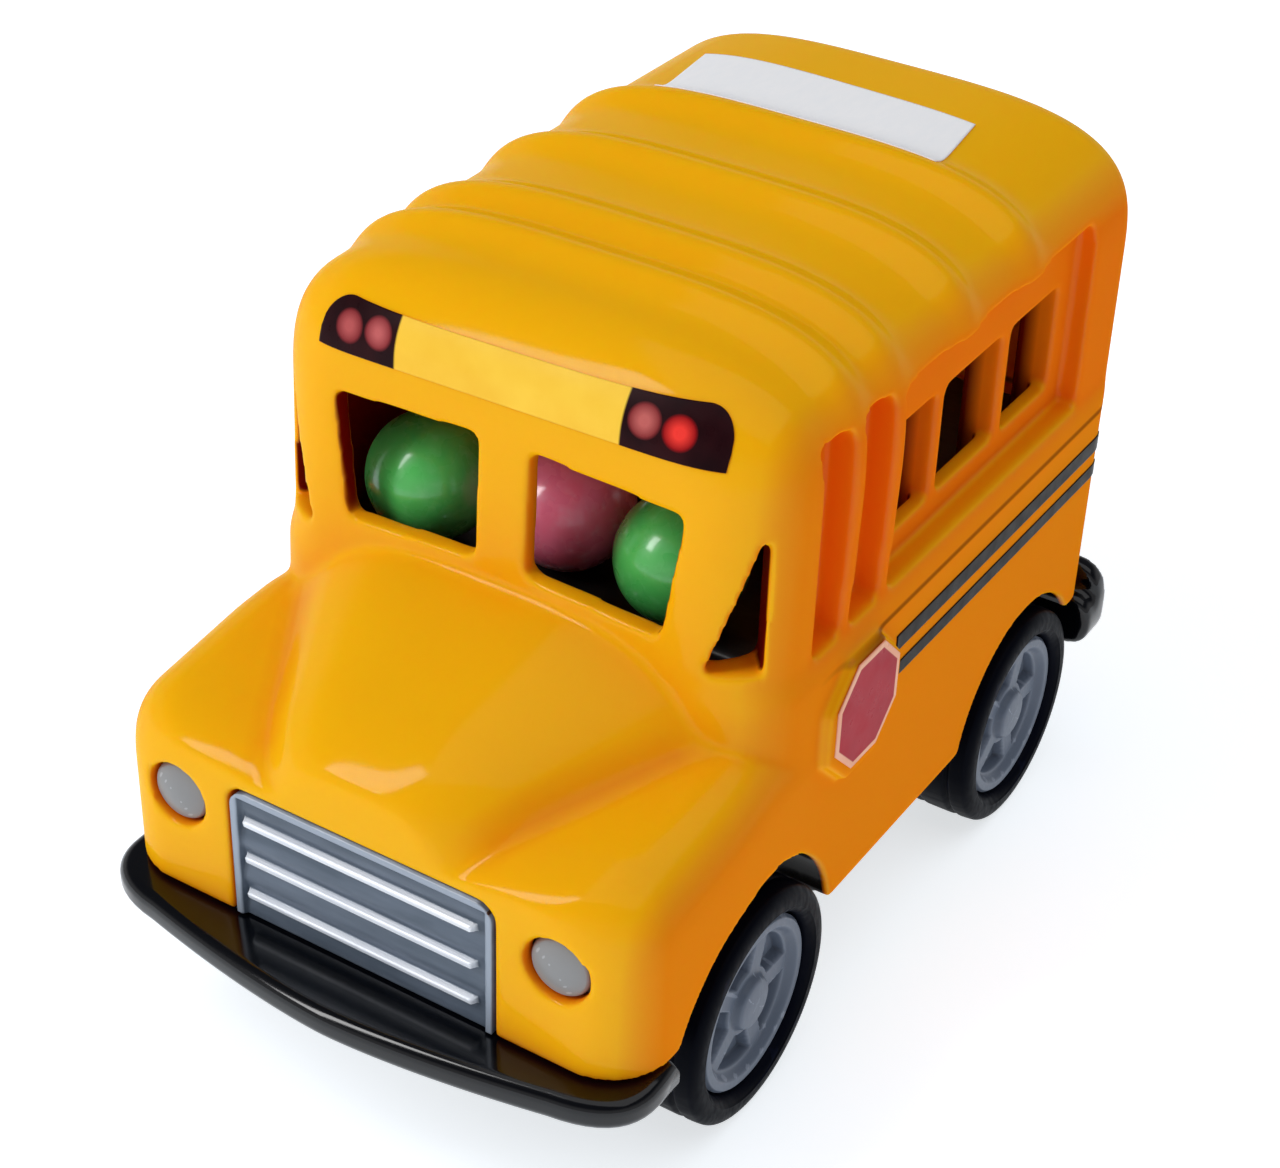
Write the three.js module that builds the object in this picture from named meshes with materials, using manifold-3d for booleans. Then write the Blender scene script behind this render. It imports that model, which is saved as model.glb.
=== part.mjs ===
import * as THREE from "three";
import { mergeVertices } from "three/addons/utils/BufferGeometryUtils.js";
import Module from "manifold-3d";

// A moulded toy school bus that holds loose candy balls.
// Millimetres, +Z up, front towards -Y, the bus's left is +X.

// Overall size
const LENGTH = 102;
const FRONT_REACH = 6.2;
const REAR_REACH = 2.6;
const NOSE_Y = -LENGTH / 2 + FRONT_REACH;
const REAR_Y = LENGTH / 2 - REAR_REACH;
const BODY_HALF = 29;
const CROWN_Z = 75.8;

// Clearances between pieces
const GAP = 0.3;
const SEAT_GAP = 0.1;
const OVERCUT = 6;
const MERGE_WITHIN = 1e-4;
const BAR_STEPS = 32;

// Wheels and axles
const WHEEL_R = 12.1;
const WHEEL_W = 9;
const WHEEL_FACE = BODY_HALF - GAP;
const WHEEL_STEPS = 24;
const SHOULDER_R = 1.6;
const TYRE_WALL = 3.2;
const RIM_R = WHEEL_R - TYRE_WALL;
const RIM_LIP = 1.2;
const RIM_T = 1.4;
const HUB_DISH = 1.6;
const HUB_WEB = 2.4;
const HUB_BOSS = 2;
const HUB_CAP = 1;
const SPOKES = 5;
const POCKET_DEPTH = 1.3;
const POCKET_SPREAD = 0.36;
const POCKET_ROUND = 0.7;
const AXLE_R = 1.5;
const FRONT_AXLE_BACK = 22.9;
const REAR_AXLE_IN = 16;
const FRONT_AXLE_Y = NOSE_Y + FRONT_AXLE_BACK;
const REAR_AXLE_Y = REAR_Y - REAR_AXLE_IN;
const ARCH_CLEAR = 1.7;
const ARCH_STEPS = 32;
const ARCH_R = WHEEL_R + ARCH_CLEAR;
const ARCH_INNER = WHEEL_FACE - WHEEL_W - ARCH_CLEAR;

// Shell
const WALL = 2;
const REAR_WALL = 3;
const SILL_Z = 15.2;
const NOSE_SILL_Z = 19;
const REAR_SILL_Z = 19.6;
const BELT_Z = 43.6;
const BELT_FLARE = 3.4;
const INNER_FLARE = 0.6;
const FLARE_TURN = [0, 0.3, 0.5, 0.7, 1];
const EAVE_Z = 60;
const FENDER_STEP = 1.1;
const BELT_STEP = 0.7;
const SIDE_DEPTH = 4.2;
const SALOON_HALF = BODY_HALF - FENDER_STEP;
const UPPER_HALF = SALOON_HALF - BELT_STEP;
const LOWER_HALF_IN = SALOON_HALF - WALL;
const UPPER_HALF_IN = UPPER_HALF - SIDE_DEPTH;
const CAB_BACK = 21.4;
const CAB_Y = NOSE_Y + CAB_BACK;
const CAB_CORNER = 8;
const REAR_CORNER = 3.4;
const SALOON_LENGTH = REAR_Y - CAB_Y;
const RAKE = 0.06;
const RAKE_Z = 52;
const RAKE_FADE = 16;
const REAR_SWELL = 1.9;
const SWELL_RUN = 12;
const SWELL_START = 1;
const ROOF_POWER = 3.5;
const ROOF_STEPS = 8;
const CROWN_ROUND = 0.8;
const RIB_AT = [0.2075, 0.3078, 0.4993, 0.6908];
const RIB_Y = RIB_AT.map((share) => CAB_Y + SALOON_LENGTH * share);
const RIB_HEIGHT = 1.3;
const RIB_SPREAD = 2.5;
const RIB_EAVE = 0.4;
const RIB_STEPS = [-1.7, -1, -0.45, 0, 0.45, 1, 1.7];

// Bonnet and fenders
const LAMP_IN = 8.2;
const LAMP_X = BODY_HALF - LAMP_IN;
const LAMP_Z = 29.6;
const LAMP_R = 3.3;
const GRILLE_TO_LAMP = 2.9;
const GRILLE_HALF = LAMP_X - LAMP_R - GRILLE_TO_LAMP;
const BONNET_FRONT_Z = 41.2;
const BONNET_REAR_Z = 49;
const BONNET_FRONT_IN = 2.1;
const BONNET_REAR_IN = 6;
const BONNET_FRONT_HALF = GRILLE_HALF - BONNET_FRONT_IN;
const BONNET_REAR_HALF = BODY_HALF - BONNET_REAR_IN;
const BONNET_FALL = 9;
const FENDER_FRONT_Z = 37.6;
const FENDER_REAR_Z = 40.5;
const FENDER_ROUND = 6;
const FENDER_DIP = 5;
const BLEND = 1.1;
const NOSE_CORNER = 4.5;
const NOSE_TOP_ROUND = 0.5;
const NOSE_STEPS = 11;
const NOSE_HALF_STEPS = 11;
const NOSE_BUNCH = 0.62;
const NOSE_BACK = 14;
const NOSE_END_Y = CAB_Y + NOSE_BACK;
const NOSE_TAPER = 4;
const NOSE_TAPER_Y = CAB_Y - NOSE_TAPER;

// Windows
const WIN_LOW = 50.8;
const WIN_HIGH = 63.2;
const WIN_ROUND = 0.9;
const SCREEN_POST = 2.8;
const SCREEN_SIDE = 8.8;
const SCREEN_DRAW = 1.6;
const SCREEN_TOP_HALF = UPPER_HALF - SCREEN_SIDE;
const SCREEN_BOTTOM_HALF = SCREEN_TOP_HALF - SCREEN_DRAW;
const SCREEN_RISE = 0.8;
const QUARTER_IN = 3.4;
const QUARTER_X = UPPER_HALF - QUARTER_IN;
const QUARTER_BACK = 1.1;
const QUARTER_TURN = 0.66;
const QUARTER_HALF = 2.6;
const QUARTER_LOW = 47.8;
const QUARTER_HIGH = 62.8;
const FIN_T = 1.7;
const FIN_REACH = 2.2;
const FIN_ROOT = 1;
const FIN_IN = UPPER_HALF_IN - FIN_REACH;
const REAR_FIN_AT = 0.8635;
const REAR_FIN_Y = CAB_Y + SALOON_LENGTH * REAR_FIN_AT;
const SLOT_AT = 0.1267;
const SLOT_FRONT_Y = CAB_Y + SALOON_LENGTH * SLOT_AT;
const SLOT_DEPTH = 3;
const SLOT_SINK = 0.6;
const SLOT_LOW = BELT_Z + BELT_FLARE - SLOT_SINK;
const SLOT_HIGH = 67.6;
const PANEL_DEPTH = 2.4;
const PANEL_HIGH = 66.8;
const BAY_LOW = 49;
const BAY_HIGH = 60.4;

// Front face
const GRILLE_TOP = 33.6;
const GRILLE_ROUND = 2;
const BAR_AT = [0.25, 0.535, 0.82];
const BAR_H = 0.9;
const BAR_IN = 1;
const BAR_PROUD = 0.6;
const GRILLE_SET = 0.5;
const FLANGE_REACH = 1.4;
const FLANGE_T = 1.2;
const LENS_SET = 0.9;
const LENS_DOME = 0.8;
const LENS_TURN = [0, 0.35, 0.7, 1];
const LENS_STEPS = 24;

// Side sign boss
const SIGN_AT = 0.2354;
const SIGN_Y = CAB_Y + SALOON_LENGTH * SIGN_AT;
const SIGN_Z = 37.3;
const SIGN_ACROSS = 13.2;
const SIGN_PROUD = 1.2;
const SIGN_DRAFT = 0.5;
const SIGN_SIDES = 8;

// Rear door
const DOOR_HALF = 9.5;
const DOOR_LOW = 50.6;
const DOOR_HIGH = 66.4;
const DOOR_FAR_GAP = 0.6;
const DOOR_RIM = 1.6;
const DOOR_STILE = 3;
const PANE_DEPTH = 0.7;
const PULL_W = 1.2;
const PULL_HALF = 2;
const PULL_ROUND = 0.3;
const PIN_R = 0.6;
const PIN_REACH = 2.8;
const PIN_STEPS = 16;
const REAR_TOP_Y = REAR_Y + REAR_SWELL;
const HINGE_X = -DOOR_HALF + REAR_WALL / 2 + GAP;
const HINGE_Y = REAR_TOP_Y - REAR_WALL / 2;

// Base, tray and candy
const BASE_TOP = 15.9;
const BASE_T = 2.8;
const BASE_LOW = BASE_TOP - BASE_T;
const BASE_HALF = ARCH_INNER - FIN_ROOT;
const BASE_FRONT = 4;
const BASE_ROUND = 1.5;
const BUMPER_TOP = NOSE_SILL_Z - GAP;
const BUMPER_H = 3.1;
const BUMPER_PROUD = 0.7;
const BUMPER_HALF = BODY_HALF + BUMPER_PROUD;
const BUMPER_END_REACH = 1.3;
const BUMPER_BOW = 1.6;
const BUMPER_CORNER = 5;
const BUMPER_SIDE = 3.4;
const BUMPER_DEEP = 8;
const BUMPER_TAIL = 3;
const BOW_STEPS = 6;
const TAIL_TOP = 22.4;
const TAIL_ROUND = 1;
const BEARING_T = 2;
const BEARING_WIDE = 2.4;
const BEARING_IN = 3;
const TRAY_TOP = 43.5;
const TRAY_T = 1.8;
const TRAY_FRONT = 7;
const TRAY_BACK = 1.6;
const TRAY_ROUND = 3.4;
const POST_R = 2.4;
const POST_X = 12;
const POST_AT = [0.18, 0.6, 0.89];
const POST_Y = POST_AT.map((share) => CAB_Y + SALOON_LENGTH * share);
const BALL_SHARE = 0.276;
const BALL_R = UPPER_HALF_IN * BALL_SHARE;
const BALL_Z = TRAY_TOP + SEAT_GAP + BALL_R;
const BALL_GAP = 0.6;
const BALL_AROUND = 12;
const BALL_RINGS = 8;

const wasm = await Module();
wasm.setup();

function paint(color, roughness, metalness = 0) {
  return new THREE.MeshStandardMaterial({ color, roughness, metalness });
}
const YELLOW = paint(0xecb00e, 0.3);
const BLACK = paint(0x0b0c12, 0.35);
const GREY = paint(0x5f616b, 0.4);
const STEEL = paint(0xa8abb0, 0.3, 1);
const GREEN = paint(0x4baf55, 0.2);
const RED = paint(0xa54655, 0.2);

// A three.js geometry as a solid
function solid(geometry) {
  const bare = geometry.clone();
  bare.deleteAttribute("normal");
  bare.deleteAttribute("uv");
  const merged = mergeVertices(bare, MERGE_WITHIN);
  const vertProperties = new Float32Array(merged.attributes.position.array);
  const triVerts = new Uint32Array(merged.index.array);
  return new wasm.Manifold(new wasm.Mesh({ numProp: 3, vertProperties, triVerts }));
}

// A solid as a three.js geometry
function surface(body) {
  const mesh = body.getMesh();
  const geometry = new THREE.BufferGeometry();
  geometry.setAttribute("position", new THREE.BufferAttribute(new Float32Array(mesh.vertProperties), 3));
  geometry.setIndex(new THREE.BufferAttribute(new Uint32Array(mesh.triVerts), 1));
  return geometry;
}

// Solids joined into one, and a solid with others cut away
const join = (bodies) => bodies.reduce((a, b) => a.add(b));
const carve = (body, cutters) => cutters.reduce((a, b) => a.subtract(b), body);

// A box between two corners
function box(x0, x1, y0, y1, z0, z1) {
  const geometry = new THREE.BoxGeometry(x1 - x0, y1 - y0, z1 - z0);
  return solid(geometry.translate((x0 + x1) / 2, (y0 + y1) / 2, (z0 + z1) / 2));
}

// A round bar along X, Y or Z from one end to the other
function bar(axis, radius, from, to, a, b, steps = BAR_STEPS) {
  const geometry = new THREE.CylinderGeometry(radius, radius, to - from, steps);
  const mid = (from + to) / 2;
  if (axis === "x") return solid(geometry.rotateZ(Math.PI / 2).translate(mid, a, b));
  if (axis === "y") return solid(geometry.translate(a, mid, b));
  return solid(geometry.rotateX(Math.PI / 2).translate(a, b, mid));
}

// A polygon with every corner rounded
function roundShape(points, radius) {
  const shape = new THREE.Shape();
  points.forEach((point, i) => {
    const before = points[(i + points.length - 1) % points.length];
    const after = points[(i + 1) % points.length];
    const into = before.clone().sub(point).setLength(radius).add(point);
    const out = after.clone().sub(point).setLength(radius).add(point);
    if (i === 0) shape.moveTo(into.x, into.y);
    else shape.lineTo(into.x, into.y);
    shape.quadraticCurveTo(point.x, point.y, out.x, out.y);
  });
  shape.closePath();
  return shape;
}

// A rounded rectangle between two corners
function rectShape(a0, a1, b0, b1, radius) {
  const corners = [[a0, b0], [a1, b0], [a1, b1], [a0, b1]];
  return roundShape(corners.map((c) => new THREE.Vector2(c[0], c[1])), radius);
}

// A plan shape given a depth
function extrude(shape, depth, steps) {
  return new THREE.ExtrudeGeometry(shape, { depth, bevelEnabled: false, curveSegments: steps });
}

// A flat shape drawn in Y and Z and carried along X
function alongX(shape, x0, x1, steps = 3) {
  const geometry = extrude(shape, x1 - x0, steps);
  return geometry.rotateX(Math.PI / 2).rotateZ(Math.PI / 2).translate(x0, 0, 0);
}

// A flat shape drawn in X and Z and carried along Y
function alongY(shape, y0, y1, steps = 3) {
  const geometry = extrude(shape, y1 - y0, steps);
  return geometry.rotateX(Math.PI / 2).translate(0, y1, 0);
}

// A flat shape drawn in X and Y and carried along Z
function alongZ(shape, z0, z1, steps = 6) {
  const geometry = extrude(shape, z1 - z0, steps);
  return geometry.translate(0, 0, z0);
}

// The same geometry for the other side of the bus
function otherSide(geometry) {
  const flipped = (geometry.index ? geometry.toNonIndexed() : geometry.clone()).scale(-1, 1, 1);
  const points = flipped.attributes.position;
  const index = [];
  for (let i = 0; i < points.count; i += 3) index.push(i, i + 2, i + 1);
  flipped.setIndex(index);
  return flipped;
}

// The sides of a skin through rings of points
function skinSides(rings) {
  const count = rings[0].length;
  const index = [];
  for (let r = 0; r + 1 < rings.length; r += 1) {
    for (let i = 0; i < count; i += 1) {
      const j = (i + 1) % count;
      const a = r * count + i;
      const b = r * count + j;
      index.push(a, a + count, b, b, a + count, b + count);
    }
  }
  return index;
}

// A skin through rings that mirror left to right, its ends closed with strips across
function stripLoft(rings) {
  const count = rings[0].length;
  const index = skinSides(rings);
  const last = (rings.length - 1) * count;
  for (let i = 0; i < (count - 1) / 2; i += 1) {
    const far = count - 1 - i;
    index.push(i, i + 1, far);
    index.push(last + i, last + far, last + i + 1);
    if (i + 1 < far - 1) index.push(i + 1, far - 1, far);
    if (i + 1 < far - 1) index.push(last + i + 1, last + far, last + far - 1);
  }
  return new THREE.BufferGeometry().setFromPoints(rings.flat()).setIndex(index);
}

// A skin through flat rings, its ends closed with a fan from low in the middle
function fanLoft(rings) {
  const count = rings[0].length;
  const index = skinSides(rings);
  const points = rings.flat();
  const last = (rings.length - 1) * count;
  for (const end of [0, last]) {
    const ring = points.slice(end, end + count);
    const middle = ring[0].clone().add(ring[count - 1]).add(ring[(count - 1) / 2]).divideScalar(3);
    points.push(middle);
    for (let i = 0; i < count; i += 1) {
      const next = (i + 1) % count;
      if (end === 0) index.push(points.length - 1, i, next);
      else index.push(points.length - 1, last + next, last + i);
    }
  }
  return new THREE.BufferGeometry().setFromPoints(points).setIndex(index);
}

// How far a rounded end stands in, at a distance from the end
function endInset(distance, radius) {
  if (distance >= radius) return 0;
  return radius - Math.sqrt(radius * radius - (radius - distance) ** 2);
}

// Stations along a piece, close together at its rounded ends
const END_TURN = [0, 0.03, 0.13, 0.3, 0.58, 1];
function stations(from, to, frontR, rearR, middle) {
  const front = END_TURN.map((t) => from + frontR * t);
  const rear = END_TURN.map((t) => to - rearR * t).reverse();
  return [...front, ...middle.filter((y) => y > from + frontR + GAP && y < to - rearR - GAP), ...rear];
}

// Height of the roof's cross ribs
function ribHeight(y) {
  const rises = RIB_Y.map((rib) => Math.exp(-(((y - rib) / RIB_SPREAD) ** 2)));
  return RIB_HEIGHT * Math.max(...rises);
}

// A smooth step from 0 to 1
function smoothStep(value) {
  const t = Math.min(1, Math.max(0, value));
  return t * t * (3 - 2 * t);
}

// One half of the saloon's section, from the sill to the crown
function saloonHalf(y, inset, inner) {
  const rib = inner ? 0 : ribHeight(y);
  const low = inner ? LOWER_HALF_IN : SALOON_HALF;
  const high = inner ? UPPER_HALF_IN : UPPER_HALF;
  const eave = high + rib * RIB_EAVE;
  const crown = inner ? CROWN_Z - RIB_HEIGHT - WALL : CROWN_Z - RIB_HEIGHT + rib;
  const step = inner ? TRAY_TOP + GAP : BELT_Z;
  const flare = inner ? INNER_FLARE : BELT_FLARE;
  const points = [[low - inset, inner ? SILL_Z - OVERCUT : SILL_Z]];
  const middle = crown - inset * CROWN_ROUND;
  for (const t of FLARE_TURN) {
    points.push([low + (high - low) * smoothStep(t) - inset, step + flare * t]);
  }
  points.push([high - inset, BELT_Z + 2 * BELT_FLARE]);
  for (let i = 0; i < ROOF_STEPS; i += 1) {
    const turn = (i / ROOF_STEPS) * (Math.PI / 2);
    const x = (eave - inset) * Math.cos(turn) ** (2 / ROOF_POWER);
    const z = EAVE_Z + (middle - EAVE_Z) * Math.sin(turn) ** (2 / ROOF_POWER);
    points.push([x, z]);
  }
  points.push([0, middle]);
  return points;
}

// A whole section as a ring, leaning back at the cab's front and swelling back over the rear
function saloonRing(y, inset, inner) {
  const half = saloonHalf(y, inset, inner);
  const left = half.slice(0, -1).reverse().map((p) => [-p[0], p[1]]);
  const lean = RAKE * Math.max(0, 1 - (y - CAB_Y) / RAKE_FADE);
  const swell = REAR_SWELL * Math.min(1, Math.max(0, 1 - (REAR_Y - REAR_WALL - y) / SWELL_RUN));
  const rise = (z) => smoothStep((z - BELT_Z + SWELL_START) / (BELT_FLARE + SWELL_START));
  const shift = (z) => lean * (z - RAKE_Z) + swell * rise(z);
  return [...half, ...left].map((p) => new THREE.Vector3(p[0], y + shift(p[1]), p[1]));
}

// The saloon as a solid, outside or inside
function saloon(inner) {
  const from = CAB_Y + (inner ? WALL : 0);
  const to = REAR_Y - (inner ? REAR_WALL : 0);
  const frontR = CAB_CORNER - (inner ? WALL : 0);
  const rearR = REAR_CORNER - (inner ? WALL : 0);
  const beside = (y) => RIB_STEPS.map((step) => y + step * RIB_SPREAD);
  const middle = inner ? [RIB_Y[0], RIB_Y[2]] : RIB_Y.flatMap(beside);
  const ys = stations(from, to, frontR, rearR, middle.sort((a, b) => a - b));
  const spaced = ys.filter((y, i) => i === 0 || y - ys[i - 1] > SEAT_GAP);
  const inset = (y) => endInset(y - from, frontR) + endInset(to - y, rearR);
  return solid(stripLoft(spaced.map((y) => saloonRing(y, inset(y), inner))));
}

// A soft join of two heights
const softMax = (a, b) => BLEND * Math.log(Math.exp(a / BLEND) + Math.exp(b / BLEND));

// Height of the bonnet and fenders at a place
function noseHeight(x, y) {
  const t = Math.min(1, (y - NOSE_Y) / (CAB_Y - NOSE_Y));
  const across = Math.abs(x);
  const bonnetHalf = BONNET_FRONT_HALF + (BONNET_REAR_HALF - BONNET_FRONT_HALF) * t;
  const ridge = BONNET_FRONT_Z + (BONNET_REAR_Z - BONNET_FRONT_Z) * t;
  const bonnet = ridge - BONNET_FALL * (across / bonnetHalf) ** 4;
  const crest = BODY_HALF - FENDER_ROUND;
  const rise = FENDER_FRONT_Z + (FENDER_REAR_Z - FENDER_FRONT_Z) * t;
  const dip = FENDER_DIP * Math.min(1, (crest - Math.min(across, crest)) / crest) ** 2;
  const turn = Math.max(0, (across - crest) / FENDER_ROUND);
  const fender = rise - dip - FENDER_ROUND * (1 - Math.sqrt(Math.max(0, 1 - turn * turn)));
  return turn > 0 ? Math.max(fender, softMax(bonnet, fender) - turn * FENDER_ROUND) : softMax(bonnet, fender);
}

// One ring of the nose, drawn in from the outside by a thickness
function noseRing(y, inset, thick) {
  const taper = Math.max(0, (y - NOSE_TAPER_Y) / (NOSE_END_Y - NOSE_TAPER_Y));
  const half = BODY_HALF - (BODY_HALF - SALOON_HALF + GAP) * taper - inset - thick;
  const floor = thick > 0 ? SILL_Z - OVERCUT : SILL_Z;
  const tops = [];
  for (let i = -NOSE_HALF_STEPS; i <= NOSE_HALF_STEPS; i += 1) {
    const turn = (i / NOSE_HALF_STEPS) * (Math.PI / 2);
    const spread = NOSE_BUNCH * Math.sin(turn) + (1 - NOSE_BUNCH) * (i / NOSE_HALF_STEPS);
    const z = noseHeight(spread * BODY_HALF, y) - inset * NOSE_TOP_ROUND - thick;
    tops.push(new THREE.Vector3(-spread * half, y, z));
  }
  return [new THREE.Vector3(half, y, floor), ...tops, new THREE.Vector3(-half, y, floor)];
}

// The nose as a solid, outside or inside
function nose(thick) {
  const from = NOSE_Y + thick;
  const radius = NOSE_CORNER - thick;
  const middle = [];
  for (let i = 1; i < NOSE_STEPS; i += 1) middle.push(NOSE_Y + ((NOSE_END_Y - NOSE_Y) * i) / NOSE_STEPS);
  const end = NOSE_END_Y - thick;
  const front = END_TURN.map((t) => from + radius * t);
  const ys = [...front, ...middle.filter((y) => y > from + radius + GAP && y < end - GAP), end];
  return solid(fanLoft(ys.map((y) => noseRing(y, endInset(y - from, radius), thick))));
}

// Cutters for one side of the bus, all between the upright fins under the roof ribs
function sideCutters() {
  const out = UPPER_HALF + OVERCUT;
  const fins = [...RIB_Y, REAR_FIN_Y];
  const cut = (y0, y1, z0, z1, x0) => alongX(rectShape(y0, y1, z0, z1, WIN_ROUND), x0, out);
  const slotFloor = UPPER_HALF - SLOT_DEPTH;
  const first = cut(SLOT_FRONT_Y, fins[0] - FIN_T / 2, SLOT_LOW, SLOT_HIGH, slotFloor);
  const second = cut(fins[0] + FIN_T / 2, fins[1] - FIN_T / 2, SLOT_LOW, SLOT_HIGH, slotFloor);
  const panel = cut(fins[1] + FIN_T / 2, REAR_FIN_Y + FIN_T, SLOT_LOW, PANEL_HIGH, UPPER_HALF - PANEL_DEPTH);
  const deep = UPPER_HALF_IN - OVERCUT;
  const bay = (y, i) => cut(y + FIN_T / 2, fins[i + 2] - FIN_T / 2, BAY_LOW, BAY_HIGH, deep);
  return [first, second, panel, ...fins.slice(1, -1).map(bay)];
}

// The inner edges of the fins beside the windows
function innerFins() {
  const low = TRAY_TOP + GAP + INNER_FLARE;
  const fin = (y) => box(FIN_IN, UPPER_HALF_IN + FIN_ROOT, y - FIN_T / 2, y + FIN_T / 2, low, EAVE_Z);
  return [...RIB_Y.slice(1), REAR_FIN_Y].map(fin).flatMap((f) => [f, f.mirror([1, 0, 0])]);
}

// One windscreen pane
function screenCutter() {
  const corners = [
    [SCREEN_POST, WIN_LOW],
    [SCREEN_BOTTOM_HALF, WIN_LOW - SCREEN_RISE],
    [SCREEN_TOP_HALF, WIN_HIGH - SCREEN_RISE],
    [SCREEN_POST, WIN_HIGH],
  ];
  const shape = roundShape(corners.map((c) => new THREE.Vector2(c[0], c[1])), WIN_ROUND);
  return alongY(shape, CAB_Y - OVERCUT, CAB_Y + WALL + OVERCUT);
}

// One three-cornered window on the cab's rounded corner
function quarterCutter() {
  const corners = [[-QUARTER_HALF, QUARTER_LOW], [QUARTER_HALF, QUARTER_LOW], [QUARTER_HALF, QUARTER_HIGH]];
  const shape = roundShape(corners.map((c) => new THREE.Vector2(c[0], c[1])), WIN_ROUND / 2);
  const geometry = alongY(shape, -OVERCUT, WALL + 2 * OVERCUT);
  return geometry.rotateZ(QUARTER_TURN).translate(QUARTER_X, CAB_Y + QUARTER_BACK, 0);
}

// One wheel well
const wellCutter = (y) => bar("x", ARCH_R, ARCH_INNER, BODY_HALF + OVERCUT, y, WHEEL_R, ARCH_STEPS);

// One lining over a wheel, which closes the shell inside the arch
function wellLining(y) {
  const ring = bar("x", ARCH_R + WALL, ARCH_INNER - WALL, SALOON_HALF - WALL / 2, y, WHEEL_R, ARCH_STEPS);
  return ring.subtract(box(0, BODY_HALF, y - LENGTH, y + LENGTH, -WHEEL_R, BASE_TOP + GAP));
}

// Openings in the front face for the grille and the lamps
function frontCutters() {
  const from = NOSE_Y - OVERCUT;
  const to = NOSE_Y + WALL + OVERCUT / 2;
  const grille = rectShape(-GRILLE_HALF, GRILLE_HALF, SILL_Z - OVERCUT, GRILLE_TOP, GRILLE_ROUND);
  const lamps = [-LAMP_X, LAMP_X].map((x) => bar("y", LAMP_R, from, to, x, LAMP_Z));
  return [solid(alongY(grille, from, to)), ...lamps];
}

// The eight-sided boss for the side sign
function signBoss() {
  const radius = SIGN_ACROSS / 2 / Math.cos(Math.PI / SIGN_SIDES);
  const geometry = new THREE.CylinderGeometry(radius - SIGN_DRAFT, radius, SIGN_PROUD + WALL, SIGN_SIDES);
  geometry.rotateY(Math.PI / SIGN_SIDES).rotateZ(-Math.PI / 2);
  return solid(geometry.translate(SALOON_HALF + (SIGN_PROUD - WALL) / 2, SIGN_Y, SIGN_Z));
}

// The one-piece yellow shell
function bodyShell() {
  const outer = saloon(false).add(nose(0));
  const inner = saloon(true).add(nose(WALL));
  const wells = [FRONT_AXLE_Y, REAR_AXLE_Y];
  const linings = wells.map(wellLining).flatMap((w) => [w, w.mirror([1, 0, 0])]);
  const trimmed = linings.map((lining) => lining.intersect(outer));
  const shell = join([outer.subtract(inner), ...trimmed, ...innerFins(), signBoss()]);
  const openings = [...sideCutters(), screenCutter(), quarterCutter()];
  const cutters = openings.flatMap((opening) => [solid(opening), solid(otherSide(opening))]);
  const arches = wells.map(wellCutter).flatMap((w) => [w, w.mirror([1, 0, 0])]);
  const wide = BODY_HALF + OVERCUT;
  const frontSill = box(-wide, wide, NOSE_Y - OVERCUT, FRONT_AXLE_Y, 0, NOSE_SILL_Z);
  const rearSill = box(-wide, wide, REAR_AXLE_Y, REAR_Y + OVERCUT, 0, REAR_SILL_Z);
  const inside = REAR_TOP_Y - REAR_WALL - FIN_ROOT;
  const door = box(-DOOR_HALF, DOOR_HALF, inside, REAR_TOP_Y + OVERCUT, DOOR_LOW, DOOR_HIGH);
  const pin = bar("z", PIN_R + GAP, DOOR_LOW - PIN_REACH, DOOR_HIGH + PIN_REACH, HINGE_X, HINGE_Y, PIN_STEPS);
  return carve(shell, [...cutters, ...arches, frontSill, rearSill, door, pin, ...frontCutters()]);
}

// The plan outline of the front bumper, a shallow bow with round corners
function bumperShape() {
  const shape = new THREE.Shape();
  const bow = (x) => 1 - (Math.abs(x) / BUMPER_HALF) ** BUMPER_BOW;
  const front = (x) => NOSE_Y - BUMPER_END_REACH - (FRONT_REACH - BUMPER_END_REACH) * bow(x);
  const turn = BUMPER_HALF - BUMPER_CORNER;
  const corner = front(turn) + BUMPER_END_REACH;
  const back = NOSE_Y + BUMPER_DEEP;
  shape.moveTo(-BUMPER_HALF + BUMPER_TAIL, back);
  shape.lineTo(-BUMPER_HALF, back - BUMPER_TAIL / 2);
  shape.lineTo(-BUMPER_HALF, NOSE_Y + BUMPER_SIDE);
  shape.quadraticCurveTo(-BUMPER_HALF, corner, -turn, front(turn));
  for (let i = 1 - BOW_STEPS; i <= BOW_STEPS; i += 1) {
    const x = (turn * i) / BOW_STEPS;
    shape.lineTo(x, front(x));
  }
  shape.quadraticCurveTo(BUMPER_HALF, corner, BUMPER_HALF, NOSE_Y + BUMPER_SIDE);
  shape.lineTo(BUMPER_HALF, back - BUMPER_TAIL / 2);
  shape.lineTo(BUMPER_HALF - BUMPER_TAIL, back);
  shape.closePath();
  return shape;
}

// The rear bumper, deep under the rear sill with a lip up behind the wall
function rearBumper() {
  const tail = LENGTH / 2;
  const inner = REAR_AXLE_Y + ARCH_R + GAP;
  const foot = rectShape(-BUMPER_HALF, BUMPER_HALF, inner, tail, TAIL_ROUND);
  const lip = rectShape(-BUMPER_HALF, BUMPER_HALF, REAR_Y + GAP, tail, TAIL_ROUND);
  return solid(alongZ(foot, BASE_LOW, REAR_SILL_Z - GAP)).add(solid(alongZ(lip, BASE_LOW, TAIL_TOP)));
}

// One bearing block for an axle, under the base
function bearing(x, y) {
  const half = AXLE_R + BEARING_WIDE;
  const block = rectShape(y - half, y + half, WHEEL_R - AXLE_R - BEARING_T, BASE_TOP, SHOULDER_R);
  return solid(alongX(block, x - BEARING_T, x + BEARING_T));
}

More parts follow.
